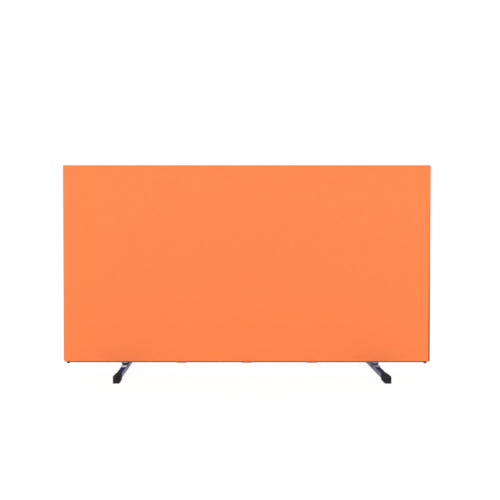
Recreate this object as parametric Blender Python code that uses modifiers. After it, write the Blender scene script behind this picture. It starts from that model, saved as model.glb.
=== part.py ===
"""A table tennis barrier: a square tube frame in a sewn cloth cover, standing on two swivel feet.

Metres, +Z up. The origin is on the floor under the middle of the cover. X runs along the
barrier and the front of the cover faces -Y. Each foot turns about its upright pivot bolt.
"""

import math

import bmesh
import bpy
from mathutils import Euler, Vector

# Cover
COVER_LENGTH = 1.400
COVER_HEIGHT = 0.750
CLOTH_THICKNESS = 0.0008
CLOTH_EDGE_ROUND = 0.0003
SEAM_BAND = 0.010
HEM_BAND = 0.025
HEM_CORNER_ROUND = 0.011
RAIL_SHOWS_BELOW_HEM = 0.0036

# Closure tabs under the bottom rail
TAB_WIDTH = 0.038
TAB_THICKNESS = 0.0009
TAB_SPACING = 0.250
TAB_BEND_RADIUS = 0.0007

# Frame tubes
TUBE_SIDE = 0.020
TUBE_WALL = 0.0012
TUBE_CORNER = 0.0025

# Moulded corner connectors
LEG_LENGTH = 0.034
LEG_CORE_SIDE = 0.0115
LEG_CORE_CORNER = 0.0015
LEG_LEAD_IN = 0.004
BARB_RISE = 0.0030
BARB_LAND = 0.0010
BARB_PITCH = 0.0072
CONNECTOR_EDGE_ROUND = 0.0018
KNUCKLE_ROUND = 0.015
SHOULDER_LENGTH = 0.0015

# Domed glides under the two bottom connectors
GLIDE_RADIUS = 0.0060
GLIDE_HEIGHT = 0.0062
GLIDE_RIM = 0.0020
GLIDE_ROOT = 0.0030
GLIDE_OFFSET = 0.0035

# Feet
FOOT_LENGTH = 0.340
FOOT_SIDE = 0.020
FOOT_WALL = 0.0015
FOOT_CORNER = 0.0025
LEFT_PIVOT_INSET = 0.2345
RIGHT_PIVOT_INSET = 0.2080
ACCESS_HOLE_RADIUS = 0.0095

# Rubber foot caps
CAP_LENGTH = 0.050
CAP_WALL = 0.0024
CAP_MOUTH_WALL = 0.0011
CAP_MOUTH_EDGE = 0.0006
CAP_SOLE = 0.0020
CAP_END_WALL = 0.0050
CAP_TOP_ROUND = 0.0034
CAP_SOLE_ROUND = 0.0011
CAP_NOSE_ROUND = 0.0065
CAP_TOE_ROUND = 0.0015
CAP_BOW_LENGTH = 0.014
CAP_BOW_TAPER = 0.0024
CAP_BOW_ROUND = 0.0025
SOLE_GROOVE_WIDTH = 0.0022
SOLE_GROOVE_DEPTH = 0.0009
SOLE_GROOVE_PITCH = 0.0085
SOLE_GROOVE_START = 0.014

# Zinc plate on each foot, and its rivets
PLATE_LENGTH = 0.096
PLATE_WIDTH = 0.0195
PLATE_THICKNESS = 0.0020
PLATE_EDGE_ROUND = 0.0004
RIVET_END_DISTANCE = 0.010
RIVET_RADIUS = 0.0024
RIVET_HEAD_RADIUS = 0.0042
RIVET_HEAD_HEIGHT = 0.0014
RIVET_BULB_RADIUS = 0.0034
RIVET_BULB_HEIGHT = 0.0034

# Swivel boss under the rail, and the friction washer that the foot turns against
BOSS_RADIUS = 0.0130
BOSS_HEIGHT = 0.0027
BOSS_CHAMFER = 0.0005
SPIGOT_RADIUS = 0.0070
FRICTION_WASHER_RADIUS = 0.0150
FRICTION_WASHER_THICKNESS = 0.0024
FRICTION_WASHER_CHAMFER = 0.0005

# Pivot hardware
BOLT_RADIUS = 0.0040
BOLT_END_CHAMFER = 0.0008
BOLT_PROUD = 0.0016
HEAD_ACROSS_FLATS = 0.0130
HEAD_HEIGHT = 0.0053
HEX_CHAMFER = 0.0006
SPRING_WASHER_RADIUS = 0.0075
SPRING_WASHER_THICKNESS = 0.0005
SPRING_WASHER_WAVE = 0.0003
FLAT_WASHER_RADIUS = 0.0080
FLAT_WASHER_THICKNESS = 0.0016
NUT_HEIGHT = 0.0062
NUT_COLLAR_RADIUS = 0.0060
NUT_COLLAR_HEIGHT = 0.0018
NUT_COLLAR_ROUND = 0.0009
SLEEVE_WALL = 0.0018

# Clearances and working values
FIT_GAP = 0.0003
CUT_OVERRUN = 0.0040
UNION_OVERLAP = 0.0005
WELD_DISTANCE = 0.000002

# Counts
ROUND_STEPS = 24
RIVET_STEPS = 16
CORNER_STEPS = 3
PLUG_CORNER_STEPS = 2
DOME_STEPS = 3
NOSE_STEPS = 4
KNUCKLE_STEPS = 6
BARBS_PER_LEG = 3
WASHER_WAVES = 3
SOLE_GROOVES = 4
TAB_PLACES = {"left": -1, "centre": 0, "right": 1}
SMOOTH_ANGLE = math.radians(35)

# Heights, from the floor up
FOOT_BOTTOM = CAP_SOLE + FIT_GAP
FOOT_TOP = FOOT_BOTTOM + FOOT_SIDE
FOOT_CEILING = FOOT_TOP - FOOT_WALL
PLATE_BOTTOM = FOOT_TOP + FIT_GAP
PLATE_TOP = PLATE_BOTTOM + PLATE_THICKNESS
FRICTION_WASHER_BOTTOM = PLATE_TOP + FIT_GAP
FRICTION_WASHER_TOP = FRICTION_WASHER_BOTTOM + FRICTION_WASHER_THICKNESS
BOSS_BOTTOM = FRICTION_WASHER_TOP + FIT_GAP
BOSS_TOP = BOSS_BOTTOM + BOSS_HEIGHT
RAIL_BOTTOM = BOSS_TOP + FIT_GAP
RAIL_TOP = RAIL_BOTTOM + TUBE_SIDE
SPIGOT_TOP = RAIL_BOTTOM + TUBE_WALL
SLEEVE_BOTTOM = SPIGOT_TOP + FIT_GAP
SLEEVE_TOP = RAIL_TOP - TUBE_WALL - FIT_GAP
WASHER_BOTTOM = RAIL_TOP + FIT_GAP
NUT_BOTTOM = WASHER_BOTTOM + FLAT_WASHER_THICKNESS + FIT_GAP
NUT_TOP = NUT_BOTTOM + NUT_HEIGHT + NUT_COLLAR_HEIGHT
BOLT_TOP = NUT_TOP + BOLT_PROUD
SPRING_WASHER_MIDDLE = FOOT_CEILING - FIT_GAP - SPRING_WASHER_WAVE - SPRING_WASHER_THICKNESS / 2
HEAD_TOP = SPRING_WASHER_MIDDLE - SPRING_WASHER_THICKNESS / 2 - SPRING_WASHER_WAVE - FIT_GAP
HEAD_BOTTOM = HEAD_TOP - HEAD_HEIGHT
HEM_HEIGHT = RAIL_BOTTOM + RAIL_SHOWS_BELOW_HEM
COVER_TOP = HEM_HEIGHT + COVER_HEIGHT
FRAME_TOP = COVER_TOP - CLOTH_THICKNESS - FIT_GAP

# Reaches from the middle of the barrier
COVER_END = COVER_LENGTH / 2
FRAME_END = COVER_END - CLOTH_THICKNESS - FIT_GAP
HEM_INNER = TUBE_SIDE / 2 + FIT_GAP
COVER_FACE = HEM_INNER + 2 * CLOTH_THICKNESS
LEFT_PIVOT = -COVER_END + LEFT_PIVOT_INSET
RIGHT_PIVOT = COVER_END - RIGHT_PIVOT_INSET

# Sizes that fits share
BOLT_HOLE_RADIUS = BOLT_RADIUS + FIT_GAP
RIVET_HOLE_RADIUS = RIVET_RADIUS + FIT_GAP
SPIGOT_HOLE_RADIUS = SPIGOT_RADIUS + FIT_GAP
SLEEVE_RADIUS = BOLT_HOLE_RADIUS + SLEEVE_WALL
TUBE_BORE = TUBE_SIDE - 2 * TUBE_WALL
LEG_SIDE = TUBE_BORE - 2 * FIT_GAP
LEG_CORNER = TUBE_CORNER - TUBE_WALL
CAP_BORE = FOOT_SIDE + 2 * FIT_GAP
FOOT_TUBE_LENGTH = FOOT_LENGTH - 2 * (CAP_END_WALL + FIT_GAP)
RIVET_REACH = PLATE_LENGTH / 2 - RIVET_END_DISTANCE

# Colours as linear RGB, with roughness and metallic value
ORANGE_CLOTH = ("orange_cloth", (1.0, 0.246, 0.074), 0.75, 0.0)
ORANGE_WEBBING = ("orange_webbing", (0.900, 0.215, 0.055), 0.85, 0.0)
NAVY_PAINT = ("navy_paint", (0.026, 0.024, 0.085), 0.28, 0.0)
NAVY_PLASTIC = ("navy_plastic", (0.030, 0.028, 0.085), 0.45, 0.0)
BLACK_NYLON = ("black_nylon", (0.018, 0.018, 0.021), 0.50, 0.0)
BLACK_RUBBER = ("black_rubber", (0.014, 0.014, 0.014), 0.70, 0.0)
ZINC = ("zinc", (0.60, 0.62, 0.66), 0.34, 1.0)
STEEL = ("steel", (0.42, 0.43, 0.45), 0.38, 1.0)


def clear_scene():
    """Removes whatever the scene held."""
    for obj in list(bpy.data.objects):
        bpy.data.objects.remove(obj, do_unlink=True)


def make_collection(name):
    """A new collection in the scene."""
    collection = bpy.data.collections.new(name)
    bpy.context.scene.collection.children.link(collection)
    return collection


def add_object(name, data, collection):
    """A new object that shows the given mesh or curve."""
    obj = bpy.data.objects.new(name, data)
    collection.objects.link(obj)
    return obj


def baked(obj):
    """The object's shape after its modifiers, welded and facing out, as a mesh. The object goes."""
    bpy.context.view_layer.update()
    graph = bpy.context.evaluated_depsgraph_get()
    mesh = bpy.data.meshes.new_from_object(obj.evaluated_get(graph), depsgraph=graph)
    edit = bmesh.new()
    edit.from_mesh(mesh)
    bmesh.ops.remove_doubles(edit, verts=edit.verts, dist=WELD_DISTANCE)
    bmesh.ops.recalc_face_normals(edit, faces=edit.faces)
    edit.to_mesh(mesh)
    edit.free()
    mesh.shade_smooth()
    mesh.set_sharp_from_angle(angle=SMOOTH_ANGLE)
    bpy.data.objects.remove(obj, do_unlink=True)
    return mesh


def dress(obj, finish):
    """Gives the object its own material."""
    kind, colour, roughness, metallic = finish
    material = bpy.data.materials.new(f"{obj.name}_{kind}")
    material.use_nodes = True
    shader = material.node_tree.nodes["Principled BSDF"]
    shader.inputs["Base Color"].default_value = (*colour, 1)
    shader.inputs["Roughness"].default_value = roughness
    shader.inputs["Metallic"].default_value = metallic
    material.diffuse_color = (*colour, 1)
    obj.data.materials.clear()
    obj.data.materials.append(material)


def place(name, mesh, finish, at=(0, 0, 0), turn=(0, 0, 0), parent=None):
    """A named piece that shows the mesh, at a place and turn about its own origin."""
    obj = add_object(name, mesh.copy(), barrier)
    obj.data.name = name
    dress(obj, finish)
    obj.location = at
    obj.rotation_euler = Euler(turn)
    obj.parent = parent
    return obj


def boolean(target, other, operation):
    """Cuts the other shape out of the target, joins it on, or keeps what they share."""
    modifier = target.modifiers.new(f"{operation.lower()}_{other.name}", "BOOLEAN")
    modifier.operation = operation
    modifier.solver = "EXACT"
    modifier.object = other
    other.hide_render = True
    other.display_type = "WIRE"


def box(name, size, centre, collection=None):
    """A box of the given size about a centre."""
    mesh = bpy.data.meshes.new(name)
    edit = bmesh.new()
    bmesh.ops.create_cube(edit, size=1)
    for vert in edit.verts:
        vert.co = Vector(centre) + Vector(a * b for a, b in zip(vert.co, size))
    edit.to_mesh(mesh)
    edit.free()
    return add_object(name, mesh, collection or cutters)


def round_edges(obj, width, segments=2):
    """Rounds every edge of a shape whose scale is one."""
    modifier = obj.modifiers.new("round_edges", "BEVEL")
    modifier.width = width
    modifier.segments = segments
    modifier.limit_method = "ANGLE"


def cylinder(name, radius, bottom, top, across=(0, 0)):
    """An upright cylinder between two heights."""
    mesh = bpy.data.meshes.new(name)
    edit = bmesh.new()
    bmesh.ops.create_cone(
        edit,
        cap_ends=True,
        segments=ROUND_STEPS,
        radius1=radius,
        radius2=radius,
        depth=top - bottom,
    )
    bmesh.ops.translate(edit, verts=edit.verts, vec=(*across, (top + bottom) / 2))
    edit.to_mesh(mesh)
    edit.free()
    return add_object(name, mesh, cutters)


def turned(name, profile, ring=True, steps=ROUND_STEPS):
    """A profile of (radius, height) points turned about Z. It runs down its outer side.

    A ring's profile closes on itself, and any other starts and ends on the axis.
    """
    last = len(profile) - 1
    edges = [(i, i + 1) for i in range(last)] + ([(last, 0)] if ring else [])
    mesh = bpy.data.meshes.new(name)
    mesh.from_pydata([(radius, 0, height) for radius, height in profile], edges, [])
    obj = add_object(name, mesh, cutters)
    screw = obj.modifiers.new("turn", "SCREW")
    screw.steps = steps
    screw.render_steps = steps
    screw.use_merge_vertices = True
    screw.merge_threshold = WELD_DISTANCE
    return obj


def arc(centre, radius, start, end, steps):
    """Points along an arc, its angles in degrees."""
    angles = [math.radians(start + (end - start) * step / steps) for step in range(steps + 1)]
    return [(centre[0] + radius * math.cos(a), centre[1] + radius * math.sin(a)) for a in angles]


def rounded_outline(half_width, bottom, top, bottom_round, top_round, steps=CORNER_STEPS):
    """A rectangle's outline, anticlockwise, with its own rounding above and below."""
    right, left = half_width, -half_width
    return [
        *arc((right - top_round, top - top_round), top_round, 0, 90, steps),
        *arc((left + top_round, top - top_round), top_round, 90, 180, steps),
        *arc((left + bottom_round, bottom + bottom_round), bottom_round, 180, 270, steps),
        *arc((right - bottom_round, bottom + bottom_round), bottom_round, 270, 360, steps),
    ]


def square_outline(side, corner, steps=CORNER_STEPS):
    """A square's outline about its middle, with rounded corners."""
    return rounded_outline(side / 2, -side / 2, side / 2, corner, corner, steps)


def loft(name, rings, closed=False):
    """A solid skin through rings of points, with its ends filled unless the rings close up."""
    edit = bmesh.new()
    rows = [[edit.verts.new(point) for point in ring] for ring in rings]
    pairs = list(zip(rows, rows[1:])) + ([(rows[-1], rows[0])] if closed else [])
    for row, following in pairs:
        for i in range(len(row)):
            j = (i + 1) % len(row)
            edit.faces.new((row[i], row[j], following[j], following[i]))
    if not closed:
        edit.faces.new(rows[0])
        edit.faces.new(rows[-1])
    bmesh.ops.recalc_face_normals(edit, faces=edit.faces)
    mesh = bpy.data.meshes.new(name)
    edit.to_mesh(mesh)
    edit.free()
    return add_object(name, mesh, cutters)


def extruded(name, outlines, length):
    """Flat outlines, the inner ones as holes, extruded along Z about the middle."""
    curve = bpy.data.curves.new(name, "CURVE")
    curve.dimensions = "2D"
    curve.fill_mode = "BOTH"
    curve.extrude = length / 2
    for outline in outlines:
        spline = curve.splines.new("POLY")
        spline.points.add(len(outline) - 1)
        spline.use_cyclic_u = True
        for point, (across, up) in zip(spline.points, outline):
            point.co = (across, up, 0, 1)
    return add_object(name, baked(add_object(name, curve, cutters)), cutters)


def square_tube(name, side, wall, corner, length):
    """A square tube along Z about its middle."""
    outer = square_outline(side, corner)
    inner = square_outline(side - 2 * wall, corner - wall)
    return extruded(name, (outer, inner), length)


def hexagon(name, bottom, top):
    """A bolt head or nut body, its corners chamfered at the top."""
    corner = HEAD_ACROSS_FLATS / 2 / math.cos(math.radians(30))
    mesh = bpy.data.meshes.new(name)
    edit = bmesh.new()
    bmesh.ops.create_cone(
        edit, cap_ends=True, segments=6, radius1=corner, radius2=corner, depth=top - bottom
    )
    bmesh.ops.translate(edit, verts=edit.verts, vec=(0, 0, (top + bottom) / 2))
    edit.to_mesh(mesh)
    edit.free()
    obj = add_object(name, mesh, cutters)
    wide = corner + CUT_OVERRUN
    drop = HEX_CHAMFER * (wide - HEAD_ACROSS_FLATS / 2) / (corner - HEAD_ACROSS_FLATS / 2)
    profile = [
        (0, top),
        (HEAD_ACROSS_FLATS / 2, top),
        (wide, top - drop),
        (wide, bottom - CUT_OVERRUN),
        (0, bottom - CUT_OVERRUN),
    ]
    boolean(obj, turned(f"{name}_chamfer", profile, ring=False), "INTERSECT")
    return obj


def build_tubes():
    """The frame's two rails and two posts."""
    rail_length = 2 * (FRAME_END - TUBE_SIDE - FIT_GAP)
    post_length = FRAME_TOP - RAIL_BOTTOM - 2 * (TUBE_SIDE + FIT_GAP)
    rail = baked(square_tube("rail", TUBE_SIDE, TUBE_WALL, TUBE_CORNER, rail_length))
    post = baked(square_tube("post", TUBE_SIDE, TUBE_WALL, TUBE_CORNER, post_length))
    along = (0, math.pi / 2, 0)
    place("top_rail", rail, NAVY_PAINT, (0, 0, FRAME_TOP - TUBE_SIDE / 2), along)
    bottom = place("bottom_rail", rail, NAVY_PAINT, (0, 0, RAIL_BOTTOM + TUBE_SIDE / 2), along)
    middle = (RAIL_BOTTOM + RAIL_TOP) / 2
    for side, pivot in (("left", LEFT_PIVOT), ("right", RIGHT_PIVOT)):
        low = cylinder(
            f"{side}_spigot_hole", SPIGOT_HOLE_RADIUS, RAIL_BOTTOM - CUT_OVERRUN, middle, (pivot, 0)
        )
        high = cylinder(
            f"{side}_bolt_hole", BOLT_HOLE_RADIUS, middle - CUT_OVERRUN, RAIL_TOP + CUT_OVERRUN, (pivot, 0)
        )
        boolean(bottom, low, "DIFFERENCE")
        boolean(bottom, high, "DIFFERENCE")
    post_x = FRAME_END - TUBE_SIDE / 2
    post_z = (FRAME_TOP + RAIL_BOTTOM) / 2
    place("left_post", post, NAVY_PAINT, (-post_x, 0, post_z))
    place("right_post", post, NAVY_PAINT, (post_x, 0, post_z))


def plug_leg(name, turn):
    """A connector's plug leg: a square core with barbs that grip the tube, along +Z then turned."""
    start = TUBE_SIDE / 2
    shoulder = start + SHOULDER_LENGTH
    end = start + LEG_LENGTH
    core = (LEG_CORE_SIDE, LEG_CORE_CORNER)
    full = (LEG_SIDE, LEG_CORNER)
    steps = [(start - UNION_OVERLAP, *full), (shoulder, *full), (shoulder, *core)]
    for barb in range(BARBS_PER_LEG):
        foot = shoulder + BARB_PITCH * (barb + 1) - BARB_LAND
        steps += [
            (foot, *core),
            (foot, *full),
            (foot + BARB_LAND, *full),
            (foot + BARB_LAND + BARB_RISE, *core),
        ]
    steps += [(end - LEG_LEAD_IN, *core), (end, LEG_CORE_SIDE - LEG_LEAD_IN, LEG_CORE_CORNER)]
    rotation = Euler(turn).to_matrix()
    rings = [
        [
            rotation @ Vector((across, up, height))
            for across, up in square_outline(side, corner, PLUG_CORNER_STEPS)
        ]
        for height, side, corner in steps
    ]
    return loft(name, rings)


def knuckle(name):
    """A connector's middle with its outer lower corner, at -X and -Z, rounded off."""
    half = TUBE_SIDE / 2
    inner = KNUCKLE_ROUND - half
    outline = [
        *arc((inner, inner), KNUCKLE_ROUND, 180, 270, KNUCKLE_STEPS),
        (half, -half),
        (half, half),
        (-half, half),
    ]
    return loft(name, [[(across, depth, up) for across, up in outline] for depth in (-half, half)])


def connector(name, with_glide):
    """A moulded elbow, its legs along +X and +Z. A bottom one is rounded and has a domed glide."""
    body = knuckle(name) if with_glide else box(name, (TUBE_SIDE, TUBE_SIDE, TUBE_SIDE), (0, 0, 0))
    round_edges(body, CONNECTOR_EDGE_ROUND)
    boolean(body, plug_leg(f"{name}_leg_up", (0, 0, 0)), "UNION")
    boolean(body, plug_leg(f"{name}_leg_along", (0, math.pi / 2, 0)), "UNION")
    if with_glide:
        base = -TUBE_SIDE / 2
        rise = GLIDE_HEIGHT - GLIDE_RIM
        dome = [
            (GLIDE_RADIUS * math.cos(angle), base - GLIDE_RIM - rise * math.sin(angle))
            for angle in (math.pi / 2 * step / DOME_STEPS for step in range(DOME_STEPS))
        ]
        root = base + GLIDE_ROOT
        profile = [(0, root), (GLIDE_RADIUS, root), *dome, (0, base - GLIDE_HEIGHT)]
        glide = turned(f"{name}_glide", profile, ring=False)
        glide.location.x = GLIDE_OFFSET
        boolean(body, glide, "UNION")
    return baked(body)


def build_connectors():
    """Four elbows, which hold the tubes together at the corners."""
    plain = connector("top_elbow", with_glide=False)
    standing = connector("bottom_elbow", with_glide=True)
    x = FRAME_END - TUBE_SIDE / 2
    low = RAIL_BOTTOM + TUBE_SIDE / 2
    high = FRAME_TOP - TUBE_SIDE / 2
    half_turn = math.pi
    place("bottom_left_connector", standing, NAVY_PLASTIC, (-x, 0, low))
    place("bottom_right_connector", standing, NAVY_PLASTIC, (x, 0, low), (0, 0, half_turn))
    place("top_left_connector", plain, NAVY_PLASTIC, (-x, 0, high), (half_turn, 0, 0))
    place("top_right_connector", plain, NAVY_PLASTIC, (x, 0, high), (0, half_turn, 0))


def build_panels():
    """The cover's front and back, each with a seam allowance and a hem turned in round its edge."""
    doubled = 2 * CLOTH_THICKNESS
    outline = rounded_outline(COVER_END, HEM_HEIGHT, COVER_TOP, HEM_CORNER_ROUND, CLOTH_EDGE_ROUND)
    single_height = COVER_HEIGHT - SEAM_BAND - HEM_BAND
    single_middle = HEM_HEIGHT + HEM_BAND + single_height / 2
    for name, side in (("front_cloth", -1), ("back_cloth", 1)):
        faces = (side * COVER_FACE, side * HEM_INNER)
        panel = loft(name, [[(across, depth, up) for across, up in outline] for depth in faces])
        pocket = box(
            f"{name}_single_layer",
            (COVER_LENGTH - 2 * SEAM_BAND, CLOTH_THICKNESS + CUT_OVERRUN, single_height),
            (0, side * (COVER_FACE - doubled + (CLOTH_THICKNESS - CUT_OVERRUN) / 2), single_middle),
        )
        boolean(panel, pocket, "DIFFERENCE")
        place(name, baked(panel), ORANGE_CLOTH)


def build_gussets():
    """The strips of cloth that join front to back over the top and down both ends."""
    width = 2 * (HEM_INNER - FIT_GAP)
    side_top = COVER_TOP - CLOTH_THICKNESS - FIT_GAP
    side_bottom = HEM_HEIGHT + HEM_CORNER_ROUND
    side_x = COVER_END - CLOTH_THICKNESS / 2
    side_size = (CLOTH_THICKNESS, width, side_top - side_bottom)
    side_z = (side_top + side_bottom) / 2
    strips = (
        ("top_gusset", (COVER_LENGTH, width, CLOTH_THICKNESS), (0, 0, COVER_TOP - CLOTH_THICKNESS / 2)),
        ("left_gusset", side_size, (-side_x, 0, side_z)),
        ("right_gusset", side_size, (side_x, 0, side_z)),
    )
    for name, size, centre in strips:
        strip = box(name, size, centre, barrier)
        round_edges(strip, CLOTH_EDGE_ROUND)
        dress(strip, ORANGE_CLOTH)


def build_closure_tabs():
    """Hook-and-loop tabs that run under the bottom rail, from the front hem to the back hem."""
    leg = COVER_FACE - CLOTH_THICKNESS
    floor = RAIL_BOTTOM - FIT_GAP - TAB_THICKNESS / 2
    top = HEM_HEIGHT - FIT_GAP
    bend = TAB_BEND_RADIUS
    half = [*arc((leg - bend, floor + bend), bend, -90, 0, CORNER_STEPS), (leg, top)]
    path = [(-across, up) for across, up in reversed(half)] + half
    for side, step in TAB_PLACES.items():
        name = f"{side}_closure_tab"
        middle = step * TAB_SPACING
        ends = (middle - TAB_WIDTH / 2, middle + TAB_WIDTH / 2)
        verts = [(x, across, up) for across, up in path for x in ends]
        faces = [(2 * i, 2 * i + 1, 2 * i + 3, 2 * i + 2) for i in range(len(path) - 1)]
        mesh = bpy.data.meshes.new(name)
        mesh.from_pydata(verts, [], faces)
        tab = add_object(name, mesh, barrier)
        shell = tab.modifiers.new("webbing", "SOLIDIFY")
        shell.thickness = TAB_THICKNESS
        shell.offset = 0
        dress(tab, ORANGE_WEBBING)


def foot_tube():
    """A foot's square tube along Y, with its pivot hole, bolt access hole and rivet holes."""
    name = "foot_tube"
    tube = square_tube(name, FOOT_SIDE, FOOT_WALL, FOOT_CORNER, FOOT_TUBE_LENGTH)
    for vert in tube.data.vertices:
        vert.co = (vert.co.x, vert.co.z, FOOT_TOP - FOOT_SIDE / 2 - vert.co.y)
    middle = FOOT_TOP - FOOT_SIDE / 2
    above = FOOT_TOP + CUT_OVERRUN
    boolean(tube, cylinder("pivot_hole", BOLT_HOLE_RADIUS, middle, above), "DIFFERENCE")
    access = cylinder("access_hole", ACCESS_HOLE_RADIUS, FOOT_BOTTOM - CUT_OVERRUN, middle)
    boolean(tube, access, "DIFFERENCE")
    for end in (-1, 1):
        hole = cylinder("tube_rivet_hole", RIVET_HOLE_RADIUS, middle, above, (0, end * RIVET_REACH))
        boolean(tube, hole, "DIFFERENCE")
    return baked(tube)


def foot_plate():
    """The round-ended zinc plate that the foot turns on."""
    radius = PLATE_WIDTH / 2
    straight = PLATE_LENGTH / 2 - radius
    outline = [
        *arc((0, straight), radius, 0, 180, ROUND_STEPS // 2),
        *arc((0, -straight), radius, 180, 360, ROUND_STEPS // 2),
    ]
    plate = extruded("foot_plate", (outline,), PLATE_THICKNESS)
    round_edges(plate, PLATE_EDGE_ROUND, segments=1)
    for vert in plate.data.vertices:
        vert.co.z += PLATE_BOTTOM + PLATE_THICKNESS / 2
    low, high = PLATE_BOTTOM - CUT_OVERRUN, PLATE_TOP + CUT_OVERRUN
    boolean(plate, cylinder("plate_pivot_hole", BOLT_HOLE_RADIUS, low, high), "DIFFERENCE")
    for end in (-1, 1):
        hole = cylinder("plate_rivet_hole", RIVET_HOLE_RADIUS, low, high, (0, end * RIVET_REACH))
        boolean(plate, hole, "DIFFERENCE")
    return baked(plate)


def drop(radius, distance):
    """How far a rounded edge has fallen away at a distance in from its end."""
    short = max(radius - distance, 0)
    return radius - math.sqrt(radius * radius - short * short)


def cap_section(distance, wall):
    """The cap's outline at a distance from the nose, its walls as thick as given."""
    bow = max(1 - distance / CAP_BOW_LENGTH, 0)
    half_width = CAP_BORE / 2 + wall - CAP_BOW_TAPER * bow * bow - drop(CAP_BOW_ROUND, distance)
    top = FOOT_TOP + FIT_GAP + wall - drop(CAP_NOSE_ROUND, distance)
    return rounded_outline(
        half_width, drop(CAP_TOE_ROUND, distance), top, CAP_SOLE_ROUND, CAP_TOP_ROUND
    )


def rubber_cap():
    """A foot cap that points along -Y from its open end, its bow on the XZ plane."""
    turns = [math.pi / 2 * step / NOSE_STEPS for step in range(NOSE_STEPS + 1)]
    stations = [(CAP_NOSE_ROUND * (1 - math.cos(angle)), CAP_WALL) for angle in turns]
    stations += [
        ((CAP_NOSE_ROUND + CAP_BOW_LENGTH) / 2, CAP_WALL),
        (CAP_BOW_LENGTH, CAP_WALL),
        (CAP_LENGTH - CAP_MOUTH_EDGE, CAP_MOUTH_WALL),
        (CAP_LENGTH, CAP_MOUTH_WALL - CAP_MOUTH_EDGE),
    ]
    rings = []
    for distance, wall in stations:
        rings.append([(across, distance, up) for across, up in cap_section(distance, wall)])
    cap = loft("rubber_cap", rings)
    bore = [
        [
            (across, distance, up + FOOT_BOTTOM + FOOT_SIDE / 2)
            for across, up in square_outline(CAP_BORE, FOOT_CORNER + FIT_GAP)
        ]
        for distance in (CAP_END_WALL, CAP_LENGTH + CUT_OVERRUN)
    ]
    boolean(cap, loft("cap_bore", bore), "DIFFERENCE")
    for groove in range(SOLE_GROOVES):
        distance = SOLE_GROOVE_START + SOLE_GROOVE_PITCH * groove
        size = (2 * CAP_BORE, SOLE_GROOVE_WIDTH, SOLE_GROOVE_DEPTH + CUT_OVERRUN)
        centre = (0, distance, (SOLE_GROOVE_DEPTH - CUT_OVERRUN) / 2)
        boolean(cap, box("sole_groove", size, centre), "DIFFERENCE")
    return baked(cap)


def rivet():
    """A blind rivet that holds the plate to the top of the foot tube."""
    seat = PLATE_TOP + FIT_GAP
    bulb_top = FOOT_CEILING - FIT_GAP
    dome = [
        (RIVET_HEAD_RADIUS * math.sin(angle), seat + RIVET_HEAD_HEIGHT * math.cos(angle))
        for angle in (math.pi / 2 * step / DOME_STEPS for step in range(DOME_STEPS + 1))
    ]
    profile = [
        *dome,
        (RIVET_RADIUS, seat),
        (RIVET_RADIUS, bulb_top),
        (RIVET_BULB_RADIUS, bulb_top - RIVET_BULB_HEIGHT / 3),
        (RIVET_BULB_RADIUS, bulb_top - RIVET_BULB_HEIGHT * 2 / 3),
        (RIVET_RADIUS, bulb_top - RIVET_BULB_HEIGHT),
        (0, bulb_top - RIVET_BULB_HEIGHT),
    ]
    return baked(turned("rivet", profile, ring=False, steps=RIVET_STEPS))


def swivel_boss():
    """The steel boss that carries the rail, its spigot in the rail's lower wall."""
    profile = [
        (BOLT_HOLE_RADIUS, SPIGOT_TOP),
        (SPIGOT_RADIUS, SPIGOT_TOP),
        (SPIGOT_RADIUS, BOSS_TOP),
        (BOSS_RADIUS - BOSS_CHAMFER, BOSS_TOP),
        (BOSS_RADIUS, BOSS_TOP - BOSS_CHAMFER),
        (BOSS_RADIUS, BOSS_BOTTOM + BOSS_CHAMFER),
        (BOSS_RADIUS - BOSS_CHAMFER, BOSS_BOTTOM),
        (BOLT_HOLE_RADIUS, BOSS_BOTTOM),
    ]
    return baked(turned("swivel_boss", profile))


def friction_washer():
    """The nylon washer between the boss and the foot's plate."""
    chamfer = FRICTION_WASHER_CHAMFER
    profile = [
        (BOLT_HOLE_RADIUS, FRICTION_WASHER_TOP),
        (FRICTION_WASHER_RADIUS - chamfer, FRICTION_WASHER_TOP),
        (FRICTION_WASHER_RADIUS, FRICTION_WASHER_TOP - chamfer),
        (FRICTION_WASHER_RADIUS, FRICTION_WASHER_BOTTOM + chamfer),
        (FRICTION_WASHER_RADIUS - chamfer, FRICTION_WASHER_BOTTOM),
        (BOLT_HOLE_RADIUS, FRICTION_WASHER_BOTTOM),
    ]
    return baked(turned("friction_washer", profile))


def pivot_bolt():
    """A hexagon bolt, its head inside the foot tube and its end above the lock nut."""
    bolt = hexagon("pivot_bolt", HEAD_BOTTOM, HEAD_TOP)
    profile = [
        (0, BOLT_TOP),
        (BOLT_RADIUS - BOLT_END_CHAMFER, BOLT_TOP),
        (BOLT_RADIUS, BOLT_TOP - BOLT_END_CHAMFER),
        (BOLT_RADIUS, HEAD_TOP - UNION_OVERLAP),
        (0, HEAD_TOP - UNION_OVERLAP),
    ]
    boolean(bolt, turned("bolt_shank", profile, ring=False), "UNION")
    return baked(bolt)


def lock_nut():
    """A hexagon nut with a round locking collar on top."""
    nut = hexagon("lock_nut", NUT_BOTTOM, NUT_BOTTOM + NUT_HEIGHT)
    shoulder = NUT_TOP - NUT_COLLAR_ROUND
    rounding = arc(
        (NUT_COLLAR_RADIUS - NUT_COLLAR_ROUND, shoulder), NUT_COLLAR_ROUND, 90, 0, DOME_STEPS
    )
    base = NUT_BOTTOM + NUT_HEIGHT - UNION_OVERLAP
    collar = [(0, NUT_TOP), *rounding, (NUT_COLLAR_RADIUS, base), (0, base)]
    boolean(nut, turned("nut_collar", collar, ring=False), "UNION")
    bore = cylinder("nut_bore", BOLT_HOLE_RADIUS, NUT_BOTTOM - CUT_OVERRUN, NUT_TOP + CUT_OVERRUN)
    boolean(nut, bore, "DIFFERENCE")
    return baked(nut)


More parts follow.
